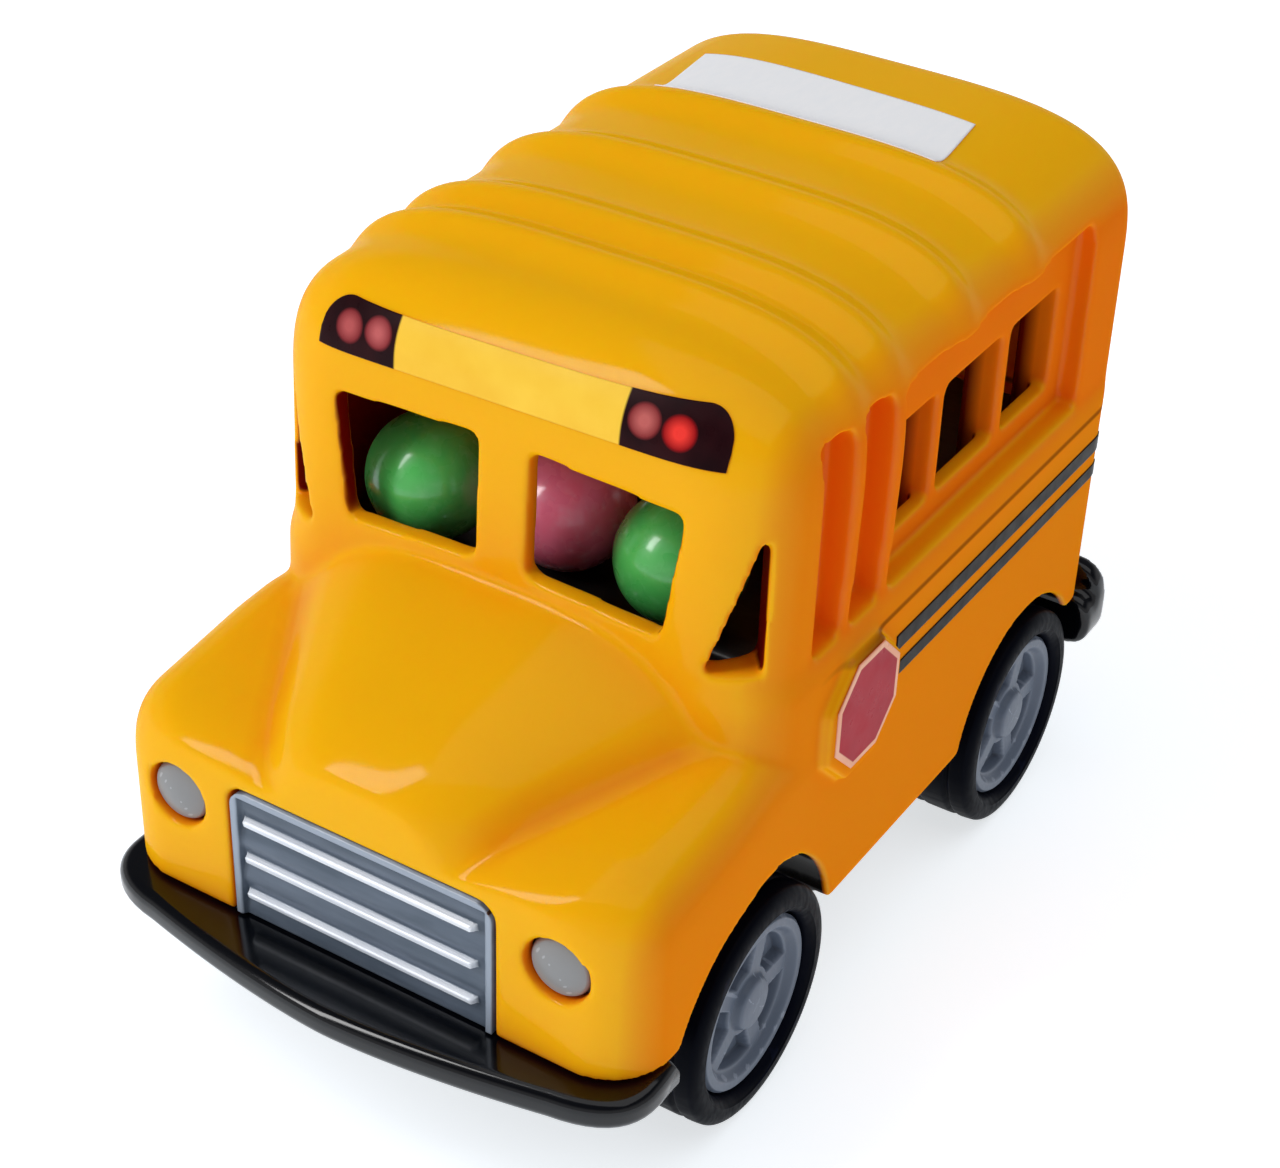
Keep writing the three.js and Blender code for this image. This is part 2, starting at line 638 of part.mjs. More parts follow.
// The black base with both bumpers, axle bearings and tray posts
function chassis() {
  const spine = box(-BASE_HALF, BASE_HALF, NOSE_Y + BASE_FRONT, REAR_Y, BASE_LOW, BASE_TOP);
  const from = FRONT_AXLE_Y + ARCH_R + BASE_ROUND;
  const to = REAR_AXLE_Y - ARCH_R - BASE_ROUND;
  const plan = rectShape(-LOWER_HALF_IN + GAP, LOWER_HALF_IN - GAP, from, to, BASE_ROUND);
  const floor = solid(alongZ(plan, BASE_LOW, BASE_TOP));
  const front = solid(alongZ(bumperShape(), BUMPER_TOP - BUMPER_H, BUMPER_TOP));
  const post = (x, y) => bar("z", POST_R, BASE_LOW, TRAY_TOP - TRAY_T - GAP, x, y, PIN_STEPS);
  const posts = POST_Y.flatMap((y) => [post(-POST_X, y), post(POST_X, y)]);
  const wheels = [FRONT_AXLE_Y, REAR_AXLE_Y];
  const side = BASE_HALF - BEARING_IN;
  const bearings = wheels.flatMap((y) => [bearing(-side, y), bearing(side, y)]);
  const bores = wheels.map((y) => bar("x", AXLE_R + GAP, -BASE_HALF, BASE_HALF, y, WHEEL_R, LENS_STEPS));
  return carve(join([spine, floor, front, rearBumper(), ...posts, ...bearings]), bores);
}

// The black tray on which the candy lies
function candyTray() {
  const half = LOWER_HALF_IN - GAP;
  const from = CAB_Y + WALL + TRAY_FRONT;
  const to = REAR_Y - REAR_WALL - TRAY_BACK;
  return solid(alongZ(rectShape(-half, half, from, to, TRAY_ROUND), TRAY_TOP - TRAY_T, TRAY_TOP));
}

// The grey grille behind the opening in the front, with raised bars
function grilleInsert() {
  const face = NOSE_Y + GRILLE_SET;
  const back = NOSE_Y + WALL + GAP;
  const low = NOSE_SILL_Z;
  const half = GRILLE_HALF - GAP;
  const block = rectShape(-half, half, low, GRILLE_TOP - GAP, GRILLE_ROUND - GAP);
  const reach = GRILLE_HALF + FLANGE_REACH;
  const flange = rectShape(-reach, reach, low + BAR_IN, GRILLE_TOP - BAR_IN, BAR_IN);
  const parts = [solid(alongY(block, face, back + GAP)), solid(alongY(flange, back, back + FLANGE_T))];
  const across = GRILLE_HALF - BAR_IN;
  for (const share of BAR_AT) {
    const z = GRILLE_TOP - (GRILLE_TOP - low) * share;
    parts.push(box(-across, across, face - BAR_PROUD, face + GAP, z - BAR_H / 2, z + BAR_H / 2));
  }
  return join(parts);
}

// A turned piece whose axis lies along X or Y
function turned(profile, axis, steps) {
  const geometry = new THREE.LatheGeometry(profile.map((p) => new THREE.Vector2(p[0], p[1])), steps);
  return axis === "x" ? geometry.rotateZ(-Math.PI / 2) : geometry.rotateX(Math.PI);
}

// A grey lamp lens with a flange behind the wall
function lampLens(side) {
  const back = WALL + GAP;
  const lens = LAMP_R - GAP;
  const flange = lens + FLANGE_REACH;
  const dome = LENS_TURN.map((share) => [lens * share, LENS_DOME * (1 - share ** 2) - LENS_SET]);
  const profile = [
    [0, -back - FLANGE_T],
    [flange, -back - FLANGE_T],
    [flange, -back],
    [lens, -back],
    ...dome.reverse(),
  ];
  return turned(profile, "y", LENS_STEPS).translate(side * LAMP_X, NOSE_Y, LAMP_Z);
}

// A black tyre with rounded shoulders, out from the middle of the wheel
function tyre(side, y) {
  const half = WHEEL_W / 2;
  const bore = RIM_R + GAP;
  const edge = SHOULDER_R * (1 - Math.SQRT1_2);
  const shoulder = [
    [WHEEL_R, half - SHOULDER_R],
    [WHEEL_R - edge, half - edge],
    [WHEEL_R - SHOULDER_R, half],
    [RIM_R + RIM_LIP, half],
    [bore, half - RIM_LIP],
  ];
  const inner = shoulder.map((p) => [p[0], -p[1]]).reverse();
  const geometry = turned([...inner, ...shoulder, inner[0]], "x", WHEEL_STEPS);
  return geometry.translate(side * (WHEEL_FACE - half), y, WHEEL_R);
}

// One pocket between two spokes
function pocket(turn, face) {
  const inner = AXLE_R + HUB_BOSS;
  const outer = RIM_R - HUB_WEB;
  const spread = outer * POCKET_SPREAD;
  const corners = [[inner, 0], [outer, spread], [outer, -spread]];
  const shape = roundShape(corners.map((c) => new THREE.Vector2(c[0], c[1])), POCKET_ROUND);
  return solid(alongX(shape, face - POCKET_DEPTH, WHEEL_W, 2).rotateX(turn));
}

// A grey wheel hub, dished, with pockets between its spokes
function hub(side, y) {
  const half = WHEEL_W / 2;
  const face = half - HUB_DISH;
  const boss = AXLE_R + HUB_BOSS;
  const web = RIM_R - RIM_T;
  const profile = [
    [0, -half + HUB_CAP],
    [boss, -half + HUB_CAP],
    [boss, face - HUB_WEB],
    [web, face - HUB_WEB],
    [web, -half + RIM_LIP],
    [RIM_R, -half + RIM_LIP],
    [RIM_R, half - RIM_LIP],
    [RIM_R - RIM_T / 2, half - RIM_LIP / 2],
    [RIM_R - RIM_T, face],
    [AXLE_R + HUB_CAP, face],
    [AXLE_R + HUB_CAP / 2, face + HUB_CAP],
    [0, face + HUB_CAP],
  ];
  const turns = Array.from({ length: SPOKES }, (_, i) => (2 * Math.PI * i) / SPOKES);
  const bore = bar("x", AXLE_R + GAP, -half, face - HUB_CAP / 2, 0, 0, PIN_STEPS);
  const disc = solid(turned(profile, "x", WHEEL_STEPS));
  const body = surface(carve(disc, [...turns.map((turn) => pocket(turn, face)), bore]));
  return (side > 0 ? body : otherSide(body)).translate(side * (WHEEL_FACE - half), y, WHEEL_R);
}

// A steel axle that ends inside both hubs
function axle(y) {
  const end = WHEEL_FACE - HUB_DISH - HUB_CAP / 2 - GAP;
  return surface(bar("x", AXLE_R, -end, end, y, WHEEL_R, PIN_STEPS));
}

// The door in the back wall, round along its hinged edge, with two sunk panels and a pull
function rearDoor() {
  const half = REAR_WALL / 2;
  const far = DOOR_HALF - DOOR_FAR_GAP;
  const low = DOOR_LOW + GAP;
  const high = DOOR_HIGH - GAP;
  const middle = (low + high) / 2;
  const face = HINGE_Y + half;
  const panel = box(HINGE_X, far, HINGE_Y - half, face, low, high);
  const barrel = bar("z", half, low, high, HINGE_X, HINGE_Y, LENS_STEPS);
  const pane = (z0, z1) => {
    const shape = rectShape(HINGE_X + DOOR_STILE, far - DOOR_STILE, z0, z1, WIN_ROUND);
    return solid(alongY(shape, face - PANE_DEPTH, face + OVERCUT));
  };
  const grip = rectShape(face - half, LENGTH / 2, middle - PULL_HALF, middle + PULL_HALF, PULL_ROUND);
  const pull = solid(alongX(grip, far - 2 * PULL_W, far - PULL_W));
  const pin = bar("z", PIN_R + GAP, DOOR_LOW, DOOR_HIGH, HINGE_X, HINGE_Y, PIN_STEPS);
  const panes = [pane(middle + DOOR_RIM / 2, high - DOOR_RIM), pane(low + DOOR_RIM, middle - DOOR_RIM / 2)];
  return carve(join([panel, barrel, pull]), [...panes, pin]);
}

// The steel pin through the door and the wall above and below it
function doorPin() {
  const reach = PIN_REACH - GAP;
  return surface(bar("z", PIN_R, DOOR_LOW - reach, DOOR_HIGH + reach, HINGE_X, HINGE_Y, PIN_STEPS));
}

// Where the candy balls lie on the tray, row by row, and which colour each one is
const CAB_BALL = UPPER_HALF_IN - BALL_R - ARCH_CLEAR;
const SIDE_BALL = FIN_IN - BALL_R - GAP;
const ROW_STEP = 2 * BALL_R + BALL_GAP;
const FRONT_ROW = CAB_Y + WALL + BALL_R + CAB_CORNER / 4;
const NOTCH = BALL_R / 4;
const BAY_ONE = (RIB_Y[1] + RIB_Y[2]) / 2;
const BAY_TWO = (RIB_Y[2] + RIB_Y[3]) / 2;
const ROW_ONE = Math.max(BAY_ONE, FRONT_ROW + 2 * NOTCH + ROW_STEP);
const ROW_TWO = Math.max(BAY_TWO, ROW_ONE + ROW_STEP);
const BALLS = [
  { at: [-CAB_BALL, FRONT_ROW], color: GREEN },
  { at: [CAB_BALL - 2 * NOTCH, FRONT_ROW + NOTCH], color: GREEN },
  { at: [-NOTCH, FRONT_ROW + 2 * NOTCH], color: RED },
  { at: [-SIDE_BALL, ROW_ONE], color: RED },
  { at: [SIDE_BALL, ROW_ONE], color: RED },
  { at: [0, ROW_ONE], color: GREEN },
  { at: [-SIDE_BALL, ROW_TWO], color: GREEN },
  { at: [SIDE_BALL, ROW_TWO], color: GREEN },
  { at: [0, ROW_TWO], color: RED },
];

const group = new THREE.Group();
function put(name, geometry, material) {
  const mesh = new THREE.Mesh(geometry, material);
  mesh.name = name;
  group.add(mesh);
}

put("body_shell", surface(bodyShell()), YELLOW);
put("chassis", surface(chassis()), BLACK);
put("candy_tray", surface(candyTray()), BLACK);
put("grille_insert", surface(grilleInsert()), GREY);
put("headlight_left", lampLens(1), GREY);
put("headlight_right", lampLens(-1), GREY);
for (const [place, y] of [["front", FRONT_AXLE_Y], ["rear", REAR_AXLE_Y]]) {
  put(`${place}_axle`, axle(y), STEEL);
  for (const [hand, side] of [["left", 1], ["right", -1]]) {
    put(`tyre_${place}_${hand}`, tyre(side, y), BLACK);
    put(`hub_${place}_${hand}`, hub(side, y), GREY);
  }
}
put("rear_door", surface(rearDoor()), YELLOW);
put("door_hinge_pin", doorPin(), STEEL);
BALLS.forEach((ball, i) => {
  const geometry = new THREE.SphereGeometry(BALL_R, BALL_AROUND, BALL_RINGS).rotateX(Math.PI / 2);
  put(`gumball_${i + 1}`, geometry.translate(ball.at[0], ball.at[1], BALL_Z), ball.color);
});

export default group;
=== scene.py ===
import math

import bpy
import numpy as np
from mathutils import Matrix, Vector


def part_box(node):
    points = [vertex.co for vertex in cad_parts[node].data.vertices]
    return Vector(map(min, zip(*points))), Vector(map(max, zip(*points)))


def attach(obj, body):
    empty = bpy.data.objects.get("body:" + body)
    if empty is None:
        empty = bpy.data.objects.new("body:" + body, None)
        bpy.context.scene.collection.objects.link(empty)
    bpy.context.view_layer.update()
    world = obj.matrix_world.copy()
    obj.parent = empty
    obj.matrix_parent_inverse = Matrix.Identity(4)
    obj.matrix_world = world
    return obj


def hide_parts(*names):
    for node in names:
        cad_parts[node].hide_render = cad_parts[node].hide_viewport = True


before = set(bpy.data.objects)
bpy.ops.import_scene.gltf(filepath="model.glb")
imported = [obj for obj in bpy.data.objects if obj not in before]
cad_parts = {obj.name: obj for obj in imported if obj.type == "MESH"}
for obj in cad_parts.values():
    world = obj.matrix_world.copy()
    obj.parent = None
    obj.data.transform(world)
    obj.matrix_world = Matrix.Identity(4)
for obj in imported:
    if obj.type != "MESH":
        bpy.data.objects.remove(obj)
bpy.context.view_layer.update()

# Body shell: one hollow moulding of glossy yellow plastic with bonnet, fenders, cab, ribbed roof
# and window fins. Lofts worked out from the bus's own sections are joined, hollowed and cut, and
# then every edge is softened as the mould leaves it.
MM = 0.001
NOSE_Y, CAB_Y, REAR_Y = -44.8, -23.4, 48.4
SALOON_LENGTH = REAR_Y - CAB_Y
BODY_HALF, SALOON_HALF, UPPER_HALF, UPPER_HALF_IN = 29.0, 27.9, 27.2, 23.0
WALL, REAR_WALL, GAP, OVERCUT = 2.0, 3.0, 0.3, 6.0
LOWER_HALF_IN = SALOON_HALF - WALL
SILL_Z, BELT_Z, TRAY_TOP, EAVE_Z, CROWN_Z = 15.2, 43.6, 43.5, 60.0, 75.8
BELT_FLARE, BELT_FLARE_IN = 3.4, 0.6
CAB_CORNER, REAR_CORNER, CROWN_FALL = 8.0, 3.4, 0.8
RAKE, RAKE_Z, RAKE_FADE = 0.06, 52.0, 16.0
REAR_SWELL, SWELL_RUN, SWELL_LEAD = 1.9, 12.0, 1.0
ROOF_POWER, ROOF_STEPS, SIDE_STEPS, CORNER_STEPS = 3.5, 41, 13, 14
RIB_Y = CAB_Y + SALOON_LENGTH * np.array([0.2075, 0.3078, 0.4993, 0.6908])
RIB_HEIGHT, RIB_SPREAD, RIB_WIDEN = 1.3, 2.5, 0.4


def smooth_step(t):
    """A rise from 0 to 1 that is level at both ends: 3t^2 - 2t^3."""
    t = np.clip(t, 0.0, 1.0)
    return t * t * (3 - 2 * t)


def new_piece(name, points, faces):
    """A mesh object from points in millimetres and lists of corner numbers."""
    mesh = bpy.data.meshes.new(name)
    mesh.from_pydata((np.asarray(points, float).reshape(-1, 3) * MM).tolist(), [], faces)
    mesh.validate()
    mesh.update()
    piece = bpy.data.objects.new(name, mesh)
    bpy.context.scene.collection.objects.link(piece)
    return piece


def grid_faces(rows, columns, wrap_columns=False):
    """Four-cornered faces between a grid's points, closed round where the columns wrap."""
    r = np.arange(rows - 1)[:, None]
    c = np.arange(columns if wrap_columns else columns - 1)[None, :]
    r2, c2 = r + 1, (c + 1) % columns
    corners = (r * columns + c, r * columns + c2, r2 * columns + c2, r2 * columns + c)
    return np.stack(np.broadcast_arrays(*corners), -1).reshape(-1, 4)


def loft(name, rings):
    """A closed solid through rings that mirror left to right, its ends closed by strips across."""
    count, size = rings.shape[:2]
    faces = grid_faces(count, size, wrap_columns=True)[:, ::-1].tolist()
    tip, last = (size - 1) // 2 - 1, (count - 1) * size
    i = np.arange(tip)
    strips = np.stack([i, i + 1, size - 2 - i, size - 1 - i], -1)
    faces += strips.tolist() + (strips + last)[:, ::-1].tolist()
    faces += [[tip, tip + 1, tip + 2], [last + tip + 2, last + tip + 1, last + tip]]
    return new_piece(name, rings, faces)


def end_inset(distance, radius):
    """How far a round end stands in, at a distance from the end: the gap under a quarter circle."""
    rest = np.clip(radius - distance, 0, radius)
    return radius - np.sqrt(radius ** 2 - rest ** 2)


def corner_places():
    """Shares from 0 to 1 that crowd at the start, as 1 - cos does over a quarter turn."""
    return 1 - np.cos(np.linspace(0, np.pi / 2, CORNER_STEPS))


def saloon(name, inner):
    """Sections across the bus: an upright side, a step at the belt and a roof corner on
    |x|^p + |z|^p = 1, raised where a rib crosses, leaning at the cab and swelling at the back."""
    wall = WALL if inner else 0.0
    start, stop = CAB_Y + wall, REAR_Y - (REAR_WALL if inner else 0.0)
    front_round, rear_round = CAB_CORNER - wall, REAR_CORNER - wall
    middle = np.linspace(start + front_round, stop - rear_round, 60 if inner else 200)[1:-1]
    y = np.concatenate([start + front_round * corner_places(), middle,
                        stop - rear_round * corner_places()[::-1]])[:, None]
    inset = end_inset(y - start, front_round) + end_inset(stop - y, rear_round)
    crest = np.exp(-((y[..., None] - RIB_Y) / RIB_SPREAD) ** 2).max(-1)
    rib = 0.0 if inner else RIB_HEIGHT * crest
    low, high = (LOWER_HALF_IN, UPPER_HALF_IN) if inner else (SALOON_HALF, UPPER_HALF)
    step, flare = (TRAY_TOP + GAP, BELT_FLARE_IN) if inner else (BELT_Z, BELT_FLARE)
    crown = CROWN_Z - RIB_HEIGHT - wall + rib - CROWN_FALL * inset
    t = np.linspace(0, 1, SIDE_STEPS)[None, :]
    side = np.broadcast_to(low + (high - low) * smooth_step(t) - inset, (len(y), SIDE_STEPS))
    side_z = np.broadcast_to(step + flare * t, (len(y), SIDE_STEPS))
    turn = np.linspace(0, np.pi / 2, ROOF_STEPS)[None, :]
    reach = (np.cos(turn) ** ROOF_POWER + np.sin(turn) ** ROOF_POWER) ** (-1 / ROOF_POWER)
    roof = (high + RIB_WIDEN * rib - inset) * reach * np.cos(turn)
    roof_z = EAVE_Z + (crown - EAVE_Z) * reach * np.sin(turn)
    foot = np.full_like(y, SILL_Z - (OVERCUT if inner else 0.0))
    x = np.concatenate([low - inset, side, roof], 1)
    z = np.concatenate([foot, side_z, roof_z], 1)
    x[:, -1] = 0.0
    x = np.concatenate([x, -x[:, -2::-1]], 1)
    z = np.concatenate([z, z[:, -2::-1]], 1)
    lean = RAKE * np.maximum(0, 1 - (y - CAB_Y) / RAKE_FADE)
    swell = REAR_SWELL * np.clip(1 - (REAR_Y - REAR_WALL - y) / SWELL_RUN, 0, 1)
    above_belt = smooth_step((z - BELT_Z + SWELL_LEAD) / (BELT_FLARE + SWELL_LEAD))
    y = y + lean * (z - RAKE_Z) + swell * above_belt
    return loft(name, np.stack([x, y, z], -1))


BONNET_FRONT_Z, BONNET_REAR_Z, BONNET_FALL = 41.2, 49.0, 9.0
BONNET_FRONT_HALF, BONNET_REAR_HALF = 12.5, 23.0
FENDER_FRONT_Z, FENDER_REAR_Z, FENDER_ROUND, FENDER_DIP = 37.6, 40.5, 6.0, 5.0
BLEND, NOSE_CORNER, NOSE_TOP_ROUND, NOSE_CROWD = 1.1, 6.5, 0.4, 0.62
NOSE_END_Y, NOSE_TAPER_Y = CAB_Y + 14, CAB_Y - 4


def nose_height(x, y):
    """Height of bonnet and fenders: a crowned bonnet and two round fenders, melted into one
    by log(e^a + e^b)."""
    t = np.minimum(1, (y - NOSE_Y) / (CAB_Y - NOSE_Y))
    across = np.abs(x)
    half = BONNET_FRONT_HALF + (BONNET_REAR_HALF - BONNET_FRONT_HALF) * t
    crown = BONNET_FRONT_Z + (BONNET_REAR_Z - BONNET_FRONT_Z) * t
    bonnet = crown - BONNET_FALL * (across / half) ** 4
    crest = BODY_HALF - FENDER_ROUND
    rise = FENDER_FRONT_Z + (FENDER_REAR_Z - FENDER_FRONT_Z) * t
    dip = FENDER_DIP * ((crest - np.minimum(across, crest)) / crest) ** 2
    turn = np.clip((across - crest) / FENDER_ROUND, 0, 1)
    fender = rise - dip - FENDER_ROUND * (1 - np.sqrt(1 - turn ** 2))
    melted = BLEND * np.logaddexp(bonnet / BLEND, fender / BLEND)
    return np.where(turn > 0, np.maximum(fender, melted - turn * FENDER_ROUND), melted)


def nose(name, thick):
    """Sections of the nose: upright sides under the height of bonnet and fenders, drawn in at
    the round front."""
    start, radius = NOSE_Y + thick, NOSE_CORNER - thick
    middle = np.linspace(start + radius, NOSE_END_Y - thick, 60)[1:]
    y = np.concatenate([start + radius * corner_places(), middle])[:, None]
    inset = end_inset(y - start, radius)
    taper = np.maximum(0, (y - NOSE_TAPER_Y) / (NOSE_END_Y - NOSE_TAPER_Y))
    half = BODY_HALF - (BODY_HALF - SALOON_HALF + GAP) * taper - inset - thick
    u = np.linspace(-1, 1, 121)[None, :]
    spread = NOSE_CROWD * np.sin(u * np.pi / 2) + (1 - NOSE_CROWD) * u
    top = nose_height(spread * BODY_HALF, y) - inset * NOSE_TOP_ROUND - thick
    foot = np.full_like(y, SILL_Z - (OVERCUT if thick else 0.0))
    x = np.concatenate([half, -spread * half, -half], 1)
    z = np.concatenate([foot, top, foot], 1)
    return loft(name, np.stack([x, np.broadcast_to(y, x.shape), z], -1))


def rect(a0, a1, b0, b1):
    """The four corners of a rectangle."""
    return [[a0, b0], [a1, b0], [a1, b1], [a0, b1]]


def round_outline(corners, radius, steps=6):
    """A polygon whose corners are quadratic curves that start and end a radius from each corner."""
    corners = np.asarray(corners, float)
    before = np.roll(corners, 1, axis=0) - corners
    after = np.roll(corners, -1, axis=0) - corners
    into = corners + before / np.linalg.norm(before, axis=1, keepdims=True) * radius
    out = corners + after / np.linalg.norm(after, axis=1, keepdims=True) * radius
    t = np.linspace(0, 1, steps)[None, :, None]
    curve = (1 - t) ** 2 * into[:, None] + 2 * t * (1 - t) * corners[:, None] + t ** 2 * out[:, None]
    return curve.reshape(-1, 2)


def round_rect(a0, a1, b0, b1, radius):
    """A rectangle with rounded corners."""
    return round_outline(rect(a0, a1, b0, b1), radius)


def circle(a, b, radius, steps=64):
    """Points round a circle."""
    turn = np.linspace(0, 2 * np.pi, steps, endpoint=False)
    return np.stack([a + radius * np.cos(turn), b + radius * np.sin(turn)], -1)


def stack(name, rings):
    """A closed solid through rings of points, its first and last ring closed flat."""
    count, size = rings.shape[:2]
    faces = grid_faces(count, size, wrap_columns=True).tolist()
    faces += [list(range(size - 1, -1, -1)), list(range((count - 1) * size, count * size))]
    return new_piece(name, rings, faces)


def prism(name, outline, axis, low, high):
    """A flat outline carried straight along axis 0, 1 or 2: (y, z) along X, (x, z) along Y or
    (x, y) along Z. The outline is turned round where it would face inwards."""
    outline = np.asarray(outline, float)
    ahead = np.roll(outline, -1, axis=0)
    area = np.sum(outline[:, 0] * ahead[:, 1] - ahead[:, 0] * outline[:, 1])
    if (area > 0) == (axis == 1):
        outline = outline[::-1]
    return stack(name, np.stack([np.insert(outline, axis, level, axis=1) for level in (low, high)]))


def both_sides(name, outline, low, high):
    """A prism along X and its mirror on the other side."""
    return [prism(name, outline, 0, low, high), prism(name, outline, 0, -high, -low)]


WIN_LOW, WIN_HIGH, WIN_ROUND = 50.8, 63.2, 0.9
SCREEN_POST, SCREEN_TOP_HALF, SCREEN_BOTTOM_HALF, SCREEN_RISE = 2.8, 18.4, 16.8, 0.8
QUARTER_X, QUARTER_BACK, QUARTER_TURN = 23.8, 1.1, 0.66
QUARTER_HALF, QUARTER_LOW, QUARTER_HIGH = 2.6, 47.8, 62.8
FIN_T, FIN_IN, FIN_ROOT, FIN_ROUND = 1.7, UPPER_HALF_IN - 2.2, UPPER_HALF_IN + 1, 0.2
REAR_FIN_Y, SLOT_FRONT_Y = CAB_Y + SALOON_LENGTH * 0.8635, CAB_Y + SALOON_LENGTH * 0.1267
SLOT_DEPTH, SLOT_LOW, SLOT_HIGH = 3.0, 46.4, 67.6
PANEL_DEPTH, PANEL_HIGH, BAY_LOW, BAY_HIGH = 2.4, 66.8, 49.0, 60.4
fins = [*RIB_Y, REAR_FIN_Y]


def side_tools():
    """Two blind slots, a sunk panel and the window bays, all between the upright fins."""
    half = FIN_T / 2
    slot_in, panel_in = UPPER_HALF - SLOT_DEPTH, UPPER_HALF - PANEL_DEPTH
    cuts = [
        (SLOT_FRONT_Y, fins[0] - half, SLOT_LOW, SLOT_HIGH, slot_in),
        (fins[0] + half, fins[1] - half, SLOT_LOW, SLOT_HIGH, slot_in),
        (fins[1] + half, REAR_FIN_Y + FIN_T, SLOT_LOW, PANEL_HIGH, panel_in),
    ]
    cuts += [(a + half, b - half, BAY_LOW, BAY_HIGH, UPPER_HALF_IN - OVERCUT)
             for a, b in zip(fins[1:], fins[2:])]
    return sum([both_sides("cut", round_rect(y0, y1, z0, z1, WIN_ROUND), x0, UPPER_HALF + OVERCUT)
                for y0, y1, z0, z1, x0 in cuts], [])


def cab_tools():
    """The two windscreen panes and the three-cornered windows on the cab's round corners."""
    pane = np.array([[SCREEN_POST, WIN_LOW], [SCREEN_BOTTOM_HALF, WIN_LOW - SCREEN_RISE],
                     [SCREEN_TOP_HALF, WIN_HIGH - SCREEN_RISE], [SCREEN_POST, WIN_HIGH]])
    quarter = np.array([[-QUARTER_HALF, QUARTER_LOW], [QUARTER_HALF, QUARTER_LOW],
                        [QUARTER_HALF, QUARTER_HIGH]])
    tools = []
    for side in (1, -1):
        outline = round_outline(pane * [side, 1], WIN_ROUND)
        tools.append(prism("cut", outline, 1, CAB_Y - OVERCUT, CAB_Y + WALL + OVERCUT))
        outline = round_outline(quarter * [side, 1], WIN_ROUND / 2)
        corner = prism("cut", outline, 1, -OVERCUT, WALL + 2 * OVERCUT)
        place = Matrix.Translation((side * QUARTER_X * MM, (CAB_Y + QUARTER_BACK) * MM, 0))
        corner.data.transform(place @ Matrix.Rotation(side * QUARTER_TURN, 4, "Z"))
        tools.append(corner)
    return tools


SIGN_Y, SIGN_Z = CAB_Y + SALOON_LENGTH * 0.2354, 37.3
SIGN_ACROSS, SIGN_PROUD = 13.2, 1.2


def octagon(across, z):
    """Eight corners round the side sign's middle, with a flat on top."""
    turn = (np.arange(8) + 0.5) * np.pi / 4
    reach = across / 2 / math.cos(math.pi / 8)
    return np.stack([SIGN_Y + reach * np.cos(turn), z + reach * np.sin(turn)], -1)


def settle(piece):
    """The piece's modifiers worked into its mesh."""
    seen = piece.evaluated_get(bpy.context.evaluated_depsgraph_get())
    mesh = bpy.data.meshes.new_from_object(seen)
    piece.modifiers.clear()
    piece.data = mesh


def work(piece, operation, tools):
    """Joins tools to a piece, or cuts them from it, and clears the tools away."""
    for tool in tools:
        step = piece.modifiers.new("step", "BOOLEAN")
        step.operation, step.object, step.solver = operation, tool, "MANIFOLD"
    settle(piece)
    for tool in tools:
        bpy.data.objects.remove(tool)
    return piece


def even_shading(piece):
    """Even shading over the whole piece."""
    piece.data.polygons.foreach_set("use_smooth", np.ones(len(piece.data.polygons), bool))
    return piece


def soften(piece, grain, passes, most):
    """Rounds every edge: an even skin of fine squares is drawn over the piece, eased by moving
    each point half way to the middle of its neighbours, and thinned to the most triangles."""
    skin = piece.modifiers.new("skin", "REMESH")
    skin.mode, skin.voxel_size = "VOXEL", grain * MM
    ease = piece.modifiers.new("ease", "SMOOTH")
    ease.factor, ease.iterations = 0.5, passes
    settle(piece)
    triangles = 2 * len(piece.data.polygons)
    if triangles > most:
        thin = piece.modifiers.new("thin", "DECIMATE")
        thin.ratio = most / triangles
        settle(piece)
    return even_shading(piece)


NOSE_SILL_Z, REAR_SILL_Z, FAR, WIDE, BELOW = 19.0, 19.6, 60, 40, -20
WHEEL_R = 12.1
AXLE_Y = {"front": NOSE_Y + 22.9, "rear": REAR_Y - 16.0}
ARCH_R, FRONT_ARCH_R, FRONT_ARCH_AHEAD, FRONT_ARCH_UP, ARCH_INNER = 13.8, 15.2, 1.3, 0.4, 18.0
ARCHES = [(AXLE_Y["front"] - FRONT_ARCH_AHEAD, WHEEL_R + FRONT_ARCH_UP, FRONT_ARCH_R),
          (AXLE_Y["rear"], WHEEL_R, ARCH_R)]
GRILLE_HALF, GRILLE_TOP, GRILLE_ROUND = 14.6, 33.6, 2.0
LAMP_X, LAMP_Z, LAMP_R = 20.8, 29.6, 3.3
DOOR_HALF, DOOR_LOW, DOOR_HIGH, DOOR_PAST = 9.5, 50.6, 66.4, 1
REAR_TOP_Y = REAR_Y + REAR_SWELL
front_cut = (1, NOSE_Y - OVERCUT, NOSE_Y + WALL + OVERCUT / 2)

shell = work(saloon("bus_shell", False), "UNION", [nose("bus_nose", 0.0)])
hollow = work(saloon("hollow", True), "UNION", [nose("hollow_nose", WALL)])
linings = [both_sides("lining", circle(y, z, radius + WALL), ARCH_INNER - WALL,
                      SALOON_HALF - WALL / 2) for y, z, radius in ARCHES]
inner_fins = [both_sides("fin", round_rect(y - FIN_T / 2, y + FIN_T / 2,
                                           TRAY_TOP + GAP + BELT_FLARE_IN, EAVE_Z, FIN_ROUND),
                         FIN_IN, FIN_ROOT) for y in fins[1:]]
boss = prism("boss", octagon(SIGN_ACROSS, SIGN_Z), 0, SALOON_HALF - WALL, SALOON_HALF + SIGN_PROUD)
work(shell, "DIFFERENCE", [hollow])
work(shell, "UNION", sum(linings, []) + sum(inner_fins, []) + [boss])
wells = sum([both_sides("cut", circle(y, z, radius, 96), ARCH_INNER, BODY_HALF + OVERCUT)
             for y, z, radius in ARCHES], [])
